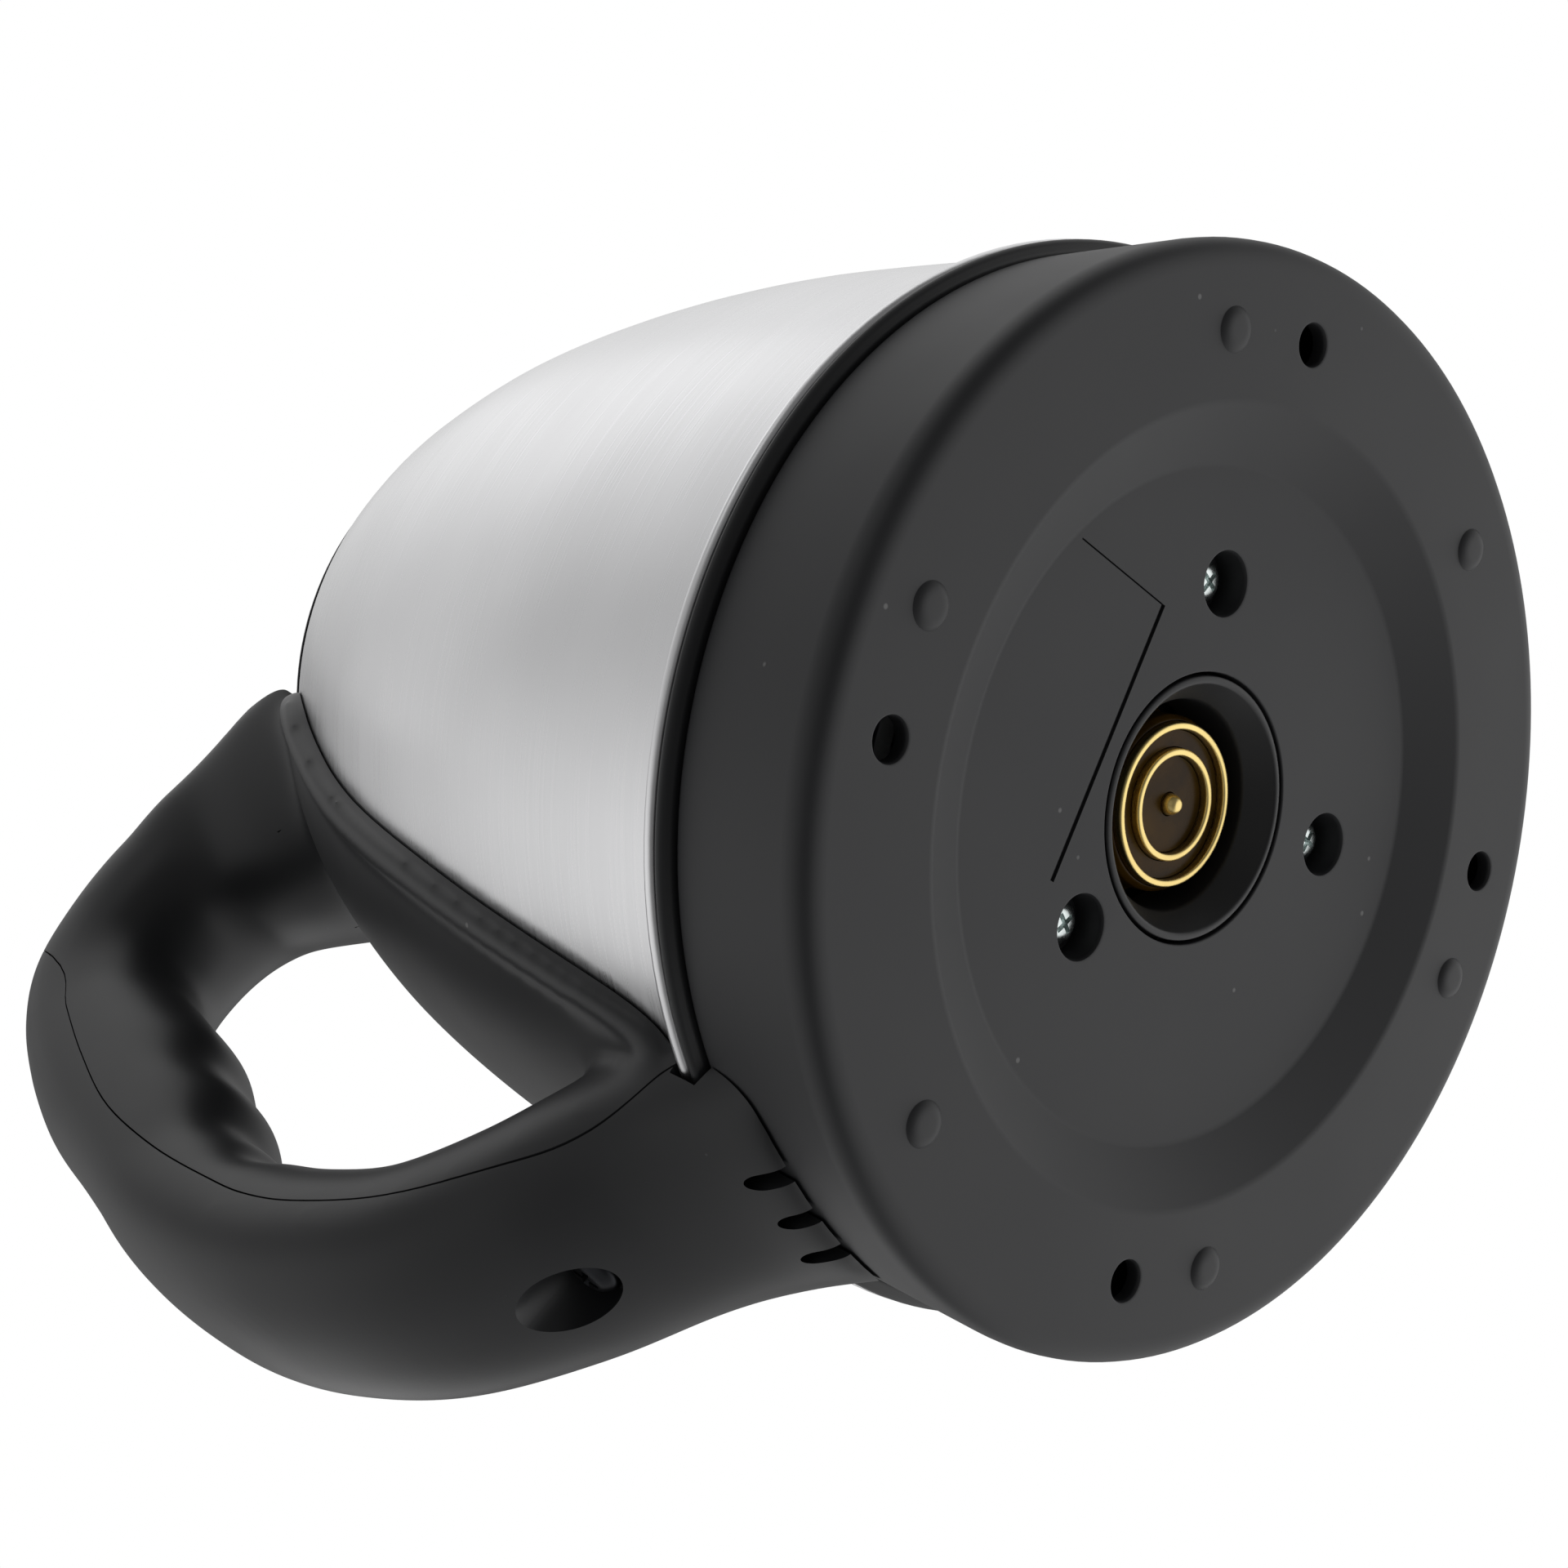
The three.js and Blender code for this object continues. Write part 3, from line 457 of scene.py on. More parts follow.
def body_bulk(offset, low=RIM_Z - 2):
    side = body_side(offset)
    return turned([(0, low), (side[0][0], low), *side, (0, side[-1][1])])


def base_bulk(offset):
    return turned(
        [
            (0, -5),
            (BASE_RADIUS + offset, -5),
            (BASE_RADIUS + offset, 5),
            (SKIRT_TOP_RADIUS + offset, SKIRT_TOP - 1),
            (RIM_RADIUS + 0.6 + offset, SKIRT_TOP + 0.6),
            (RIM_RADIUS + 0.6 + offset, RIM_Z + 1.4),
            (0, RIM_Z + 1.4),
        ]
    )


# ---------------------------------------------------------------- steel body
BEAD_CENTRE = (78.85, RIM_Z - 0.25)
BEAD_RADIUS = 1.05
bead = []
for i in range(13):
    angle = -1.9 + i * 0.3
    across, rise = BEAD_RADIUS * math.cos(angle), BEAD_RADIUS * math.sin(angle)
    bead.append((BEAD_CENTRE[0] + across, BEAD_CENTRE[1] + rise))
shell = turned([(76.7, RIM_Z - 1.15), *bead, *body_side(0), *body_side(-STEEL)[::-1], (76.5, RIM_Z + 0.6)])


def spout_ring(level, inset, z=None):
    """The spout's outline at share level of its height, moved inwards by inset."""
    foot, top = 124, 169
    height = foot + inset * 1.5 + level * (top - foot - inset * 1.5)
    nose = 63 + 15 * level**0.8 - inset * 1.3
    half = 5 + 22 * level**0.75 - inset
    ring = []
    for i in range(-24, 25):
        s = i / 24
        x = 33 + (nose - 33) * (1 - abs(s) ** 1.9)
        ring.append((x, half * s, height if z is None else z))
    return ring


SPOUT_LEVELS = [(i / 16) ** 1.4 for i in range(17)]
WINDOW_LOW = 142
WINDOW_HIGH = 161
window = block(40, 70, -12, 12, WINDOW_LOW, WINDOW_HIGH)
keep(window, loft([spout_ring(level, 2) for level in SPOUT_LEVELS]))
publish(cut(shell, window), "body_shell", "kettle", BODY_STEEL, ["steel_body"])
spout = loft([spout_ring(level, 0) for level in SPOUT_LEVELS])
cut(spout, loft([spout_ring(level, 1) for level in SPOUT_LEVELS] + [spout_ring(1, 1, 178)]))
cut(spout, body_bulk(GAP), rod(COLLAR_CLEAR + 0.1, 160, 200, steps=144))
publish(spout, "spout_shell", "kettle", BODY_STEEL, ["spout"])

# ---------------------------------------------------------------- collar and lid
collar = turned(
    rounded(
        [
            (46.9, 165.9, 0.3),
            (46.2, 167.3, 1),
            (44, 169.6, 1.5),
            (42, 171.5, 0.3),
            (41.6, 171.2, 0.2),
            (41.6, 162.4),
            (42.9, 162.4),
            (42.9, 167.6),
            (44.3, 167.6),
            (45.4, 166.7),
        ],
        0.3,
    )
)
# Two ears on the collar carry the ends of the hinge pin.
EAR_Y = 10.8
EAR_WIDTH = 3.2
EAR_OUTLINE = [(-44.2, 167.9), (-47.2, 167.9), (-51, 171.5), (-51, HINGE_Z), (-44.2, HINGE_Z)]
HINGE_HOLE = 1.8
for side in (-1, 1):
    ear = plate_along_y(EAR_OUTLINE, side * EAR_Y - EAR_WIDTH / 2, side * EAR_Y + EAR_WIDTH / 2)
    join(ear, moved(rod_along_y(3, EAR_WIDTH, HINGE_X, HINGE_Z), 0, side * EAR_Y, 0))
    join(collar, bevelled(ear, 0.4))
latch_notch = block(40, 43.3, -5.6, 5.6, 166.6, 180)
cut(collar, rod_along_y(HINGE_HOLE, 40, HINGE_X, HINGE_Z), latch_notch)
publish(collar, "collar", "kettle", HANDLE_PLASTIC, ["top_collar"])

lid = turned(
    rounded(
        [
            (0, 185.4),
            (13, 184.4, 4),
            (26, 181, 5),
            (36, 176, 4),
            (LID_RADIUS - 0.2, 171.9, 1.2),
            (LID_RADIUS, 166.4),
            (LID_RADIUS - 2.2, 166.4),
            (LID_RADIUS - 2.4, 171),
            (34.6, 174.1, 2),
            (25.4, 178.8, 3),
            (12.6, 182.1, 3),
            (0, 183),
        ],
        0.3,
        6,
    )
)
knuckle = join(block(-51, -37, -8.7, 8.7, 171.9, 174.4), rod_along_y(3.2, 17.4, HINGE_X, HINGE_Z))
join(lid, cut(bevelled(knuckle, 0.5), rod(38.8, 160, 176, steps=96)))
well = turned([(0, 170), (10.3, 170), (10.3, 182.4), (11.2, 183.4), (12, 190), (0, 190)], 72)
cut(lid, rod_along_y(HINGE_HOLE, 40, HINGE_X, HINGE_Z), moved(well, BUTTON_X, 0, 0))
latch_way = block(30, 45, -5.3, 5.3, 166, 169.6)
cut(lid, latch_way)
publish(lid, "lid_dome", "lid", HANDLE_PLASTIC, ["lid_shell"])

BUTTON_OUTLINE = [(0, 183.9), (5, 184.1, 3), (8.4, 184.5, 0.8), (9.9, 182.9, 0.9), (9.9, 178.6), (0, 178.6)]
button = turned(rounded(BUTTON_OUTLINE, 0.3), 72)
# A ring-shaped pocket under the cap takes the top of the spring when the button is pressed.
cut(button, turned([(2.45, 178), (3.9, 178), (3.9, 182.2), (2.45, 182.2)], 48))
join(button, rod(2.2, 170, 179, steps=32))
LEG_OUTLINE = [(5, 179), (8.6, 179), (8.6, 169.7), (7.6, 169.7), (5, 172.95)]
join(button, plate_along_y(LEG_OUTLINE, -2, 2))
moved(button, BUTTON_X, 0, 0)
publish(button, "lid_button_cap", "button", HANDLE_PLASTIC, ["lid_button"])

PLATE_OUTLINE = [
    (0, 163.6),
    (37.4, 163.6),
    (38.2, 164.4),
    (38.2, 166),
    (37.2, 166),
    (37.2, 164.6),
    (0, 164.6),
]
plate = turned(rounded(PLATE_OUTLINE, 0.3))
publish(plate, "lid_underplate", "lid", RIM_STEEL, ["lid_plate"])
SEAL_OUTLINE = [(38.5, 163.9), (40.9, 163.2), (40.9, 164), (40, 164.6), (40, 166.1), (38.5, 166.1)]
seal = turned(rounded(SEAL_OUTLINE, 0.25))
publish(seal, "lid_gasket", "lid", SILICONE, ["lid_seal"])
floor_dish = turned(
    rounded(
        [
            (0, 34),
            (74, 34, 1.5),
            (75.5, 36, 1.5),
            (75.5, 42),
            (74.8, 42),
            (74.8, 36.4, 1.5),
            (73.4, 34.8, 1.5),
            (0, 34.8),
        ],
        0.2,
    )
)
publish(floor_dish, "floor_dish", "kettle", RIM_STEEL, ["water_floor"])

# ---------------------------------------------------------------- handle
# Stations of the handle's middle line: distance from the axis, height, half thickness, half width.
HANDLE_STATIONS = [
    (25, 149, 9, 30),
    (34.5, 163.5, 11.4, 30),
    (44.6, 179.2, 13.4, 25.4),
    (54.3, 190.4, 12.4, 20.6),
    (65, 195, 11.8, 18.6),
    (78, 194.3, 11.6, 18),
    (87.5, 190, 13, 17.7),
    (94, 182.3, 14, 17.6),
    (98.8, 171.8, 15.4, 17.6),
    (103, 160, 16.2, 17.6),
    (107, 148.1, 15.4, 17.6),
    (111, 137.5, 14.3, 17.6),
    (115.3, 126, 13.3, 17.6),
    (117.2, 113, 13.2, 17.8),
    (116.9, 100.5, 13.9, 18),
    (114.8, 88.5, 14.2, 18.4),
    (108.8, 72.5, 14.1, 19),
    (96.5, 57, 13.8, 20.2),
    (82.5, 44.5, 14, 21.4),
    (73.5, 33, 14, 22.4),
    (67.5, 21, 13.5, 22.6),
]
LINE = [(-u, 0, z) for u, z, _, _ in HANDLE_STATIONS]
SIZES = [(thick, wide) for _, _, thick, wide in HANDLE_STATIONS]
SECTION_POWER = 2.35
SECTION_TAPER = 0.12
ROOT_TAPER = 0.62
ROOT_END = 0.2
GRIP_FIRST = 0.45
GRIP_LAST = 0.7
GROOVE_DEPTH = 1.8
GROOVES = 3


def signed_power(value, power):
    return math.copysign(abs(value) ** power, value)


def groove_at(t):
    """Depth of the finger grooves at share t of the handle's line."""
    if not GRIP_FIRST <= t <= GRIP_LAST:
        return 0
    share = (t - GRIP_FIRST) / (GRIP_LAST - GRIP_FIRST)
    return GROOVE_DEPTH * (0.5 - 0.5 * math.cos(share * GROOVES * 2 * math.pi))


def handle_frame(t):
    """Centre, direction along, outward direction and (half thickness, half width) at share t."""
    centre = curve_point(LINE, t, 0.25)
    along = curve_point(LINE, min(t + 0.002, 1), 0.25) - curve_point(LINE, max(t - 0.002, 0), 0.25)
    along /= np.linalg.norm(along)
    outward = np.array((along[2], 0, -along[0]))
    thick, wide = curve_point(SIZES, t, 0.25)
    return centre, along, outward, (thick, wide)


def handle_ring(t, inset, steps=56):
    centre, _, outward, (thick, wide) = handle_frame(t)
    taper = SECTION_TAPER + ROOT_TAPER * max(0, 1 - t / ROOT_END)
    ring = []
    for i in range(steps):
        angle = 2 * math.pi * i / steps
        across = signed_power(math.cos(angle), 2 / SECTION_POWER)
        sideways = signed_power(math.sin(angle), 2 / SECTION_POWER)
        groove = groove_at(t) * max(0, -math.cos(angle))
        place = centre + outward * across * (thick - inset - groove)
        place[1] += sideways * (wide * (1 + taper * across) - inset)
        ring.append(place)
    return ring


def handle_tube(inset, rings, steps=56):
    return loft([handle_ring(i / rings, inset, steps) for i in range(rings + 1)])


# The seam between the handle's two halves, seen from the side, as (distance from the axis, z).
SEAM = [
    (55, 17),
    (76, 32),
    (88.5, 40.5),
    (97, 50),
    (107, 66.5),
    (113.3, 85),
    (115.3, 97),
    (115.3, 108),
    (114.3, 125.5),
    (111.3, 143.5),
    (105.3, 160),
    (98.5, 175),
    (91, 190),
    (87, 230),
]


def loop_side(offset):
    """The space on the finger-loop side of the seam, moved outwards by offset."""
    edge = []
    for i in range(81):
        u, z = curve_point(SEAM, i / 80)
        edge.append((-u - offset, z - offset * 0.5))
    return plate_along_y([*edge, (10, 230), (10, 17)], -60, 60)


# The spine's side edge as (half width, z).
SPINE_SIDE = [
    (17, 31.9),
    (24.5, 35),
    (28, 42),
    (30.5, 54),
    (33.4, 73),
    (35.2, 95),
    (35.6, 120),
    (36.6, 142),
    (37, 150),
    (35.5, 158),
    (31.5, 164),
    (28, 167.5),
]


def smoothstep(low, high, value):
    t = min(max((value - low) / (high - low), 0), 1)
    return t * t * (3 - 2 * t)


def spine_slab():
    """The spine that lies on the steel: a recessed face between two rounded lips."""
    side = np.array(body_side(0, 120))
    rows, columns = 90, 60
    outer, inner = [], []
    for i in range(rows + 1):
        half, z = curve_point(SPINE_SIDE, i / rows)
        radius = np.interp(z, side[:, 1], side[:, 0])
        slope = (np.interp(z + 1, side[:, 1], side[:, 0]) - np.interp(z - 1, side[:, 1], side[:, 0])) / 2
        normal_out, normal_up = 1 / math.hypot(1, slope), -slope / math.hypot(1, slope)
        outer_row, inner_row = [], []
        for j in range(columns + 1):
            s = 2 * j / columns - 1
            y = half * signed_power(s, 0.8)
            from_edge = half - abs(y)
            lip = smoothstep(SPINE_LIP_WIDTH + 0.8, SPINE_LIP_WIDTH - 0.8, from_edge)
            drop = 0.9 * (1 - smoothstep(0, 1.2, from_edge))
            height = SPINE_FACE + (SPINE_LIP - SPINE_FACE) * lip - drop
            for row, lift in ((outer_row, height), (inner_row, -2)):
                r = radius + lift * normal_out
                angle = math.asin(min(y / radius, 0.99))
                row.append((-r * math.cos(angle), r * math.sin(angle), z + lift * normal_up))
        outer.append(outer_row)
        inner.append(inner_row[::-1])
    return loft([a + b for a, b in zip(outer, inner)])


def smooth_near_roots(obj, root_turns, fairing_turns):
    """Rounds the inside corners where the tube runs into the spine, then fairs the whole surface."""
    mesh = obj.data
    count = len(mesh.vertices)
    place = np.empty(count * 3)
    mesh.vertices.foreach_get("co", place)
    place = place.reshape(-1, 3)
    side = np.array(body_side(0, 80))
    out = np.hypot(place[:, 0], place[:, 1]) - np.interp(place[:, 2], side[:, 1], side[:, 0])
    samples = [handle_frame(i / 60) for i in range(61)]
    nearest = np.full(count, 9.0)
    for centre, along, outward, (thick, wide) in samples:
        rel = place - centre
        near = np.abs(rel @ along) < 4
        value = (np.abs(rel @ outward) / thick) ** SECTION_POWER
        value += (np.abs(rel[:, 1]) / wide) ** SECTION_POWER
        nearest = np.where(near, np.minimum(nearest, value ** (1 / SECTION_POWER)), nearest)
    # The rounding is strongest on the tube's own surface near the steel and fades out along the arms.
    close = np.clip(1 - np.abs(nearest - 1.05) / 0.45, 0, 1) * np.clip((15 - out) / 8, 0, 1)
    close *= np.clip((out - 0.8) / 1.5, 0, 1)
    weight = np.clip(close * 1.6, 0, 1)
    edges = np.empty(len(mesh.edges) * 2, int)
    mesh.edges.foreach_get("vertices", edges)
    a, b = edges.reshape(-1, 2).T
    degree = np.bincount(np.r_[a, b], minlength=count)[:, None]
    for turn in range(root_turns + fairing_turns):
        total = np.zeros_like(place)
        for axis in range(3):
            total[:, axis] = np.bincount(a, place[b, axis], count) + np.bincount(b, place[a, axis], count)
        pull = weight[:, None] * 0.7 if turn < root_turns else 0.5
        place += (total / degree - place) * pull
    mesh.vertices.foreach_set("co", place.ravel())
    mesh.update()


def remeshed(obj, voxel):
    step = obj.modifiers.new("remesh", "REMESH")
    step.mode = "VOXEL"
    step.voxel_size = voxel
    step.adaptivity = 0
    return apply_modifiers(obj)


# Where the switch pivots, under the middle of the lower arm's upper face.
SWITCH_SHARE = 0.83
SWITCH_DEPTH = 6.5
switch_centre, _, switch_out, (switch_thick, _) = handle_frame(SWITCH_SHARE)
switch_pivot = switch_centre - switch_out * (switch_thick - SWITCH_DEPTH)


def at_switch(obj):
    """Puts a shape drawn about the switch's pivot, with the arm's surface level, in its place."""
    up = Vector(-switch_out)
    along = Vector((0, 1, 0)).cross(up)
    turn = Matrix((along, (0, 1, 0), up)).transposed().to_4x4()
    obj.data.transform(Matrix.Translation(switch_pivot) @ turn)
    return obj


VOXEL = 0.65
ROOT_TURNS = 50
FAIRING_TURNS = 20
ROOT_WALL = 2.4
outer = join(handle_tube(0, 150), spine_slab())
remeshed(outer, VOXEL)
smooth_near_roots(outer, ROOT_TURNS, FAIRING_TURNS)
hollow = cut(handle_tube(HANDLE_WALL, 60, 40), body_bulk(ROOT_WALL), base_bulk(ROOT_WALL))
cut(hollow, rod(HOLLOW_START, 150, 260, steps=96))
boss = keep(rod_along_x(7, -112, GRIP_SCREW_X + 2, GRIP_SCREW_Z), copy_of(outer))
cut(outer, hollow)
cut(outer, body_bulk(GAP), base_bulk(GAP))
half = copy_of(outer)

core = keep(half, loop_side(0))
# The pocket follows the ears of the collar, and the ends of the hinge pin reach past them.
HINGE_POCKET = [(-30, 167.6), (-47.4, 167.6), (-51.4, 171.4), (-51.4, 260), (-30, 260)]
POCKET_HALF = EAR_Y + EAR_WIDTH / 2 + GAP
cut(core, rod(COLLAR_CLEAR, 160, 260, steps=144), plate_along_y(HINGE_POCKET, -POCKET_HALF, POCKET_HALF))
cut(core, rod_along_y(HINGE_HOLE, 27, HINGE_X, HINGE_Z))
switch_window = bevelled(block(-12.4, 11.2, -6.1, 6.1, -9, 12), 1, angle=60)
screw_clearance = block(-92, -70, -9.5, 9.5, GRIP_SCREW_Z - 8, GRIP_SCREW_Z + 8)
cut(core, at_switch(switch_window), screw_clearance)
publish(core, "handle_inner_half", "kettle", HANDLE_PLASTIC, ["handle_core"], angle=40)

outer_half = join(outer, boss)
screw_hole = turned([(0, 0), (5.5, 0), (5.5, 30), (0, 30)], 64)
cut(outer_half, moved(turned_by(screw_hole, -90, "Y"), GRIP_SCREW_X, 0, GRIP_SCREW_Z))
cut(outer_half, rod_along_x(2.2, -120, -80, GRIP_SCREW_Z, 32))
cut(outer_half, loop_side(GAP))
VENT_HALF = 1.4
VENT_PITCH = 8.2
VENT_TOP = 34
VENT_END = -BASE_RADIUS - 1
for y in (-VENT_PITCH, 0, VENT_PITCH):
    slot = block(VENT_END, -70, y - VENT_HALF, y + VENT_HALF, 4, VENT_TOP)
    cut(outer_half, join(slot, rod(VENT_HALF, 4, VENT_TOP, VENT_END, y, 32)))
publish(
    outer_half, "handle_outer_half", "kettle", HANDLE_PLASTIC, ["handle_shell"], angle=40
)

half_length, half_width = 9.5, 5.5
rocker = plate_along_y(
    [(-half_length, -1), (half_length, -1), (half_length, 6.2), (4, 6.9), (-4, 6.9), (-half_length, 9.4)],
    -half_width,
    half_width,
)
join(bevelled(rocker, 0.9, 4), rod_along_y(2.6, 2 * half_width - 1, 0, 0), block(-1.5, 1.5, -3, 3, -8, 0))
cut(rocker, rod_along_y(1.05, 40, 0, 0, 24))
publish(at_switch(rocker), "rocker_cap", "rocker", HANDLE_PLASTIC, ["switch_rocker"])


# ---------------------------------------------------------------- base
def polar(radius, degrees):
    return radius * math.cos(math.radians(degrees)), radius * math.sin(math.radians(degrees))


# The three cover screws as (distance from the axis, angle in degrees).
COVER_SCREWS = [(27.6, 189), (31.4, 55.4), (32.2, -42.6)]
FEATURE_RADIUS = 67.4
FEET = 6
FIRST_FOOT = 8.5
DRAINS = 4
FIRST_DRAIN = 53.5
COVER_SCREW_Z = 7.2
WELL_TOP = 9.4
PANEL_TURN = -20.5
cover = turned(
    rounded(
        [
            (SOCKET_RADIUS + GAP, RECESS_DEPTH),
            (RECESS_INNER, RECESS_DEPTH, 0.5),
            (RECESS_OUTER, 0, 0.6),
            (BASE_RADIUS, 0, 4.4),
            (SKIRT_TOP_RADIUS, SKIRT_TOP, 0.7),
            (SKIRT_TOP_RADIUS - 2.2, SKIRT_TOP),
            (BASE_RADIUS - 2.6, 8, 4),
            (BASE_RADIUS - 6, 2.4, 3),
            (RECESS_OUTER + 0.6, 2.4),
            (RECESS_INNER + 0.6, RECESS_DEPTH + 2.2),
            (SOCKET_RADIUS + GAP, RECESS_DEPTH + 2.2),
        ],
        0.35,
        8,
    ),
    192,
)
FOOT_OUTLINE = [(0, -0.8), (2.3, -0.8, 1), (3.5, 0.15, 0.8), (3.5, 1), (0, 1)]
for i in range(FEET):
    x, y = polar(FEATURE_RADIUS, FIRST_FOOT + 360 / FEET * i)
    join(cover, moved(turned(rounded(FOOT_OUTLINE, 0.3), 40), x, y, 0))
DRAIN_OUTLINE = [(0, -2), (3.5, -2), (3.5, -0.01), (3.2, 0.12), (3.02, 0.4), (3, 0.8), (3, 6), (0, 6)]
for i in range(DRAINS):
    x, y = polar(FEATURE_RADIUS, FIRST_DRAIN + 360 / DRAINS * i)
    cut(cover, moved(turned(DRAIN_OUTLINE, 48), x, y, 0))
WELL_OUTLINE = [
    (0, 0),
    (5.1, 0),
    (5.1, RECESS_DEPTH),
    (4.8, RECESS_DEPTH + 0.1),
    (4.63, RECESS_DEPTH + 0.4),
    (4.6, RECESS_DEPTH + 0.9),
    (4.6, WELL_TOP),
    (0, WELL_TOP),
]
for radius, angle in COVER_SCREWS:
    x, y = polar(radius, angle)
    join(cover, rod(6, RECESS_DEPTH + 0.5, WELL_TOP + 3, x, y))
    cut(cover, moved(turned(WELL_OUTLINE, 56), x, y, 0), rod(1.8, 5, 14, x, y, 24))
# Two thin grooves mark the edges of a flat panel in the recess.
for x0, x1, y0, y1 in ((-20.9, 21.2, -23.1, -22.3), (20.95, 21.2, -42.6, -22.4)):
    cut(cover, turned_by(block(x0, x1, y0, y1, 3, RECESS_DEPTH + 0.5), PANEL_TURN, "Z"))
publish(cover, "base_shell", "kettle", BASE_PLASTIC, ["base_cover"])

LIP_OUTLINE = [
    (74, SKIRT_TOP + GAP),
    (78.2, SKIRT_TOP + GAP, 0.3),
    (79.4, 27.5, 0.4),
    (79.9, 28.2, 0.4),
    (79.6, 28.9, 0.3),
    (74, 28.9),
]
ring = turned(rounded(LIP_OUTLINE, 0.2), 192)
publish(ring, "lip", "kettle", HANDLE_PLASTIC, ["lip_ring"])


def cross_screw(head_radius, head_height, shank_radius, length):
    """A pan-head screw, head down at z = 0, with a tapered cross recess."""
    r, h = head_radius, head_height
    outline = [
        (0, 0),
        (r * 0.62, 0.05, 0.8),
        (r, h * 0.62, 0.7),
        (r, h, 0.2),
        (shank_radius, h),
        (shank_radius, length),
        (0, length + 0.6),
    ]
    screw = turned(rounded(outline, 0.15), 48)
    arm, wide, deep = r * 0.62, r * 0.13, h * 0.62
    for turn in (0, 90):
        top = [(-arm, -wide, -1), (arm, -wide, -1), (arm, wide, -1), (-arm, wide, -1)]
        low = [(x * 0.55, y * 0.8, deep) for x, y, _ in top]
        cut(screw, turned_by(loft([top, low]), turn, "Z"))
    return screw


for i, (radius, angle) in enumerate(COVER_SCREWS):
    x, y = polar(radius, angle)
    screw = moved(turned_by(cross_screw(3.4, 2.1, 1.5, 11), angle + 20 * i, "Z"), x, y, COVER_SCREW_Z)
    publish(screw, f"base_screw_{i + 1}", "kettle", ZINC, [f"cover_screw_{i + 1}"])
# The grip screw is coloured near black as painted shade, standing for the shade deep in its hole.
grip_screw = turned_by(turned_by(cross_screw(4.4, 2.6, 1.9, 15), 35, "Z"), 90, "Y")
moved(grip_screw, GRIP_SCREW_X - 2.9, 0, GRIP_SCREW_Z)
publish(grip_screw, "grip_screw", "kettle", PAINTED_SHADE_SCREW_STEEL, ["handle_screw"])

# ---------------------------------------------------------------- socket
bezel = turned(
    rounded(
        [
            (SOCKET_RADIUS - 0.2, RECESS_DEPTH + 0.1, 0.4),
            (SOCKET_RADIUS - 1.2, RECESS_DEPTH - 0.1, 0.5),
            (15.3, 8.3, 0.5),
            (15.3, 17),
            (17, 17),
            (17, 9.2),
            (SOCKET_RADIUS - 0.2, 7.4),
        ],
        0.2,
        6,
    )
)
publish(bezel, "socket_funnel", "kettle", HANDLE_PLASTIC, ["socket_bezel"])


def contact_ring(outer, name, node):
    wall = 1.1
    outline = [(outer, 8, 0.5), (outer - wall, 8, 0.5), (outer - wall, 20.6), (outer, 20.6)]
    ring = turned(rounded(outline, 0.1, 6))
    publish(ring, name, "kettle", BRASS, [node])


contact_ring(12, "ring_contact_outer", "contact_ring_outer")
contact_ring(8.2, "ring_contact_inner", "contact_ring_inner")
pin = turned(rounded([(0, 7.4), (0.9, 7.5, 0.5), (1.6, 8.6, 0.6), (1.6, 21), (0, 21)], 0.2, 6), 40)
publish(pin, "pin_contact", "kettle", BRASS, ["contact_pin"])

insulator = turned(
    rounded(
        [
            (0, 9.4),
            (6.9, 9.4, 0.4),
            (12.3, 9.4, 0.4),
            (12.9, 10.4, 0.3),
            (12.9, 19.5),
            (15, 19.5),
            (15, 21.6),
            (0, 21.6),
        ],
        0.3,
        5,
    )
)
for outer_r, inner_r in ((12.15, 10.75), (8.35, 6.95)):
    cut(insulator, turned([(outer_r, 5), (outer_r, 20.9), (inner_r, 20.9), (inner_r, 5)]))
cut(insulator, rod(1.8, 5, 25, steps=40))
publish(insulator, "contact_carrier", "kettle", AMBER, ["socket_insulator"])


# ---------------------------------------------------------------- stage, lights and camera
def stage_floor():
    """A pale floor that is solid from above and clear from below, so the underside can be seen."""
    bpy.ops.mesh.primitive_plane_add(size=8, location=(0, 0, -0.0004))
    floor = bpy.context.object
    floor.name = "studio_floor"
    material = bpy.data.materials.new("studio_paper")
    material.use_nodes = True
    nodes, links = material.node_tree.nodes, material.node_tree.links
    shader = nodes["Principled BSDF"]
    shader.inputs["Base Color"].default_value = (0.86, 0.86, 0.86, 1)
    shader.inputs["Roughness"].default_value = 0.9
    clear = nodes.new("ShaderNodeBsdfTransparent")
    mix = nodes.new("ShaderNodeMixShader")
    links.new(nodes.new("ShaderNodeNewGeometry").outputs["Backfacing"], mix.inputs[0])
    links.new(shader.outputs[0], mix.inputs[1])
    links.new(clear.outputs[0], mix.inputs[2])
    links.new(mix.outputs[0], nodes["Material Output"].inputs["Surface"])
    floor.data.materials.append(material)
    floor.visible_shadow = False
    floor.visible_diffuse = False
    floor.visible_glossy = False


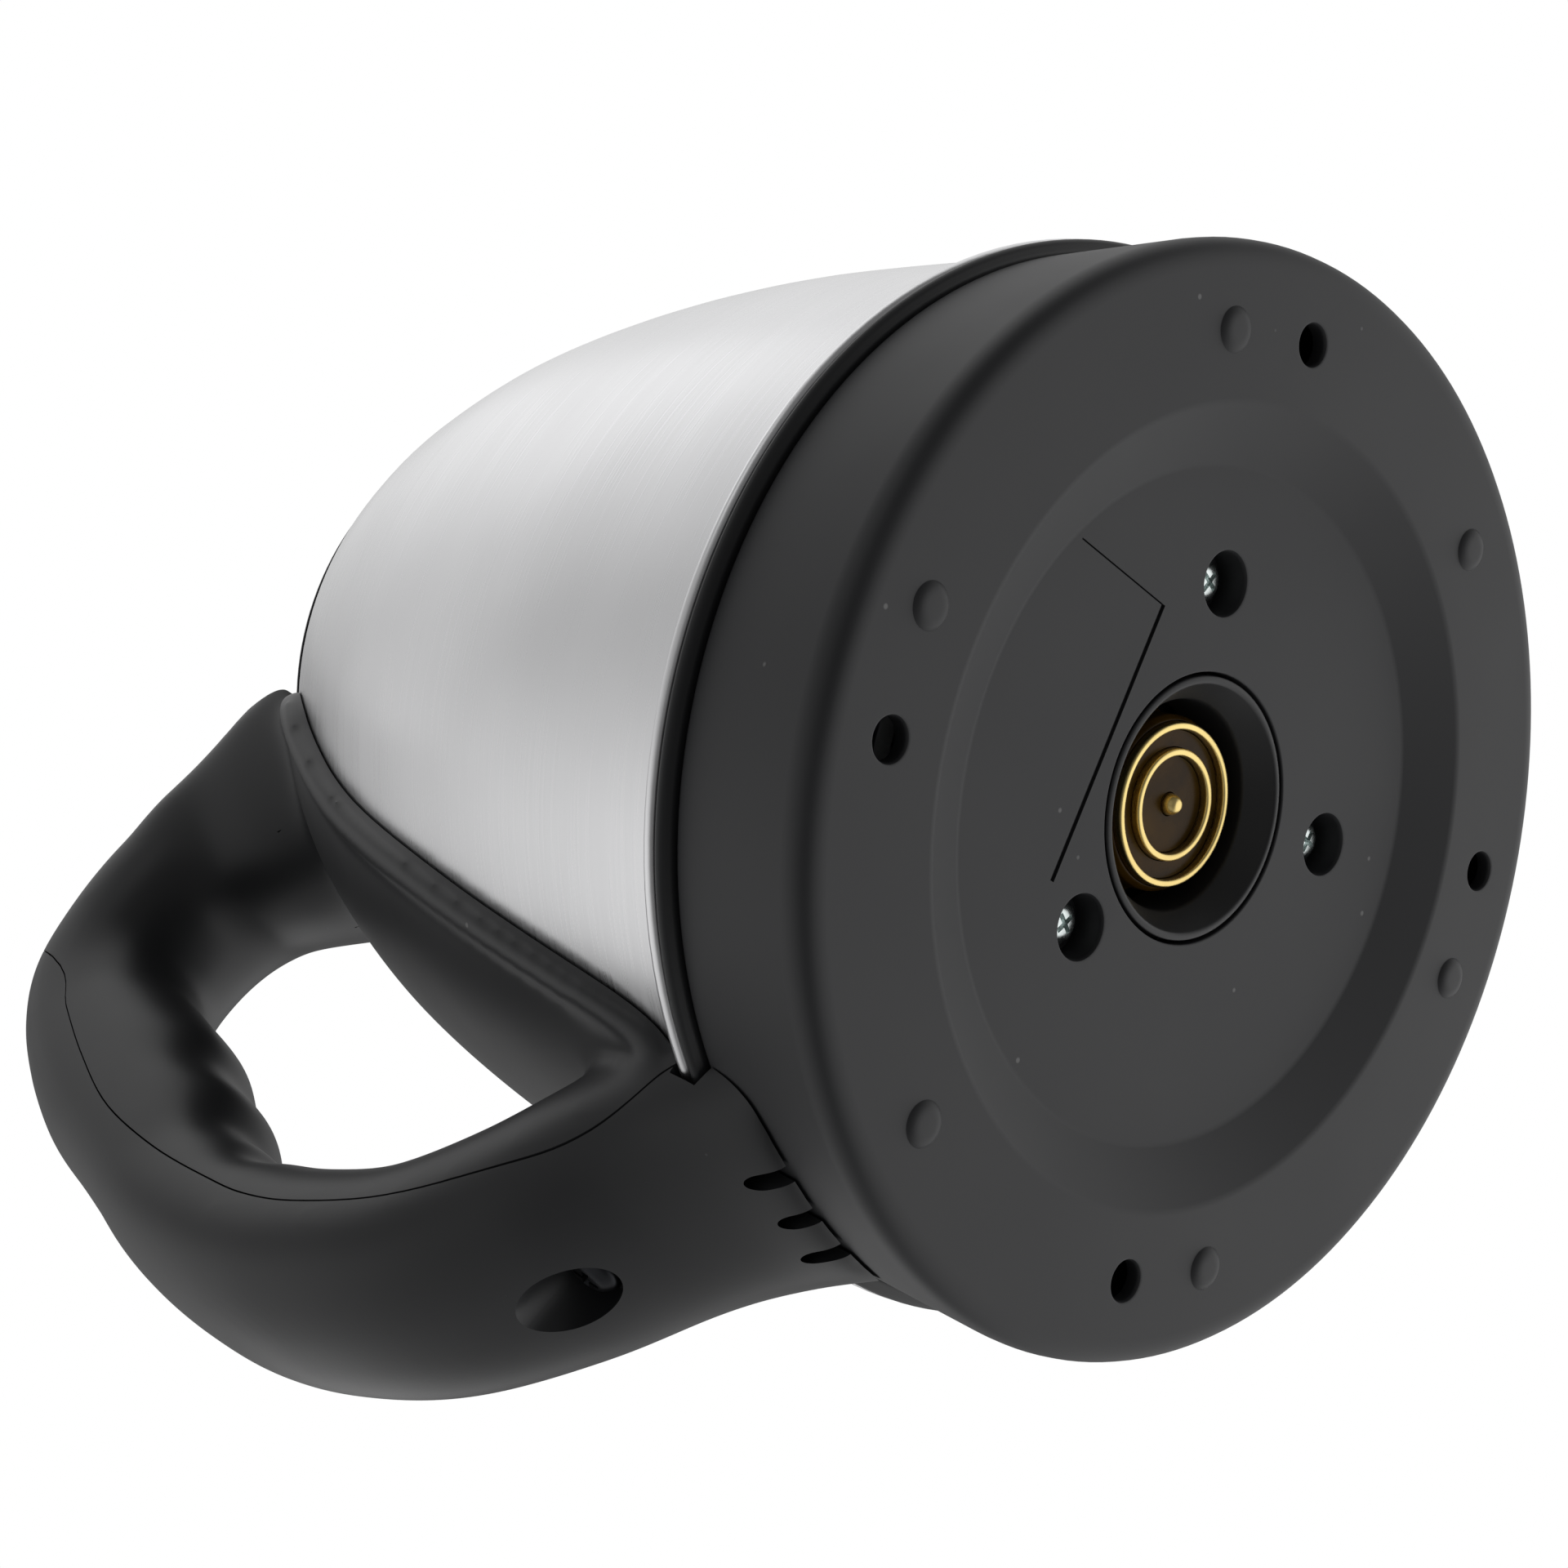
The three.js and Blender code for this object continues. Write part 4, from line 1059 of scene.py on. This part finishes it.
def studio_world(lobes, base):
    """White behind the object. What lights it is a soft tent: a base level and broad brighter lobes."""
    world = bpy.data.worlds.new("studio")
    bpy.context.scene.world = world
    world.use_nodes = True
    nodes, links = world.node_tree.nodes, world.node_tree.links
    nodes.clear()
    direction = nodes.new("ShaderNodeTexCoord").outputs["Generated"]
    total = None
    for aim, spread, strength in lobes:
        facing = nodes.new("ShaderNodeVectorMath")
        facing.operation = "DOT_PRODUCT"
        facing.inputs[1].default_value = aim.normalized()
        links.new(direction, facing.inputs[0])
        lobe = nodes.new("ShaderNodeMapRange")
        lobe.interpolation_type = "SMOOTHSTEP"
        lobe.inputs["From Min"].default_value = math.cos(math.radians(spread))
        lobe.inputs["From Max"].default_value = math.cos(math.radians(spread * 0.25))
        lobe.inputs["To Max"].default_value = strength
        links.new(facing.outputs["Value"], lobe.inputs["Value"])
        add = nodes.new("ShaderNodeMath")
        add.operation = "ADD"
        add.inputs[1].default_value = base
        if total is not None:
            links.new(total, add.inputs[1])
        links.new(lobe.outputs[0], add.inputs[0])
        total = add.outputs[0]
    path = nodes.new("ShaderNodeLightPath")
    mix = nodes.new("ShaderNodeMixShader")
    tent_light, backdrop = nodes.new("ShaderNodeBackground"), nodes.new("ShaderNodeBackground")
    links.new(total, tent_light.inputs["Strength"])
    for socket, background in ((1, tent_light), (2, backdrop)):
        background.inputs["Color"].default_value = (1, 1, 1, 1)
        links.new(background.outputs[0], mix.inputs[socket])
    links.new(path.outputs["Is Camera Ray"], mix.inputs[0])
    links.new(mix.outputs[0], nodes.new("ShaderNodeOutputWorld").inputs["Surface"])


def softbox(name, place, target, width, height, watts):
    """A rectangular light at place, in metres, that faces the target."""
    light = bpy.data.lights.new(name, "AREA")
    light.shape = "RECTANGLE"
    light.size, light.size_y = width, height
    light.energy = watts
    lamp = bpy.data.objects.new(name, light)
    bpy.context.scene.collection.objects.link(lamp)
    lamp.location = place
    lamp.rotation_euler = (Vector(target) - Vector(place)).to_track_quat("-Z", "Y").to_euler()


# The camera looks up at the underside from below, on the handle's side.
camera_data = bpy.data.cameras.new("studio_camera")
camera = bpy.data.objects.new("studio_camera", camera_data)
bpy.context.scene.collection.objects.link(camera)
camera_data.sensor_width = 36
camera_data.lens = 63.75
camera_data.clip_start = 0.01
camera_data.clip_end = 20
camera.location = ORIGIN + Vector((-192.5, -246.7, -244.1)) * MM
camera.rotation_euler = [math.radians(a) for a in (169.568, 42.129, 38.159)]
bpy.context.scene.camera = camera
bpy.context.scene.view_settings.view_transform = "Standard"

middle = (cad_low + cad_high) / 2
right, up, toward = camera.rotation_euler.to_matrix().col


def by_camera(x, y, z):
    """A point given as right, up and towards the camera from the middle of the kettle, in metres."""
    return middle + right * x + up * y + toward * z


stage_floor()
tent = [
    (right * -0.9 + up * 0.25 + toward * 0.25, 75, 0.22),
    (up * 0.75 - toward * 0.7, 55, 0.6),
    (right * 0.85 - up * 0.35 - toward * 0.2, 75, 0.95),
    (right * -0.75 - up * 0.65, 65, 0.42),
    (Vector((0, 0, 1)), 70, 0.12),
]
TENT_BASE = 0.14
studio_world(tent, TENT_BASE)
softbox("key_light", by_camera(-0.5, 0.9, 0.5), middle, 0.5, 0.5, 0.3)
softbox("top_light", (0.2, -0.3, 1.1), middle, 0.9, 0.9, 0.5)
softbox("front_light", (0.9, -0.9, 0.6), middle, 0.6, 0.8, 0.4)
softbox("back_light", (-0.6, 1.0, 0.7), middle, 0.6, 0.8, 1)
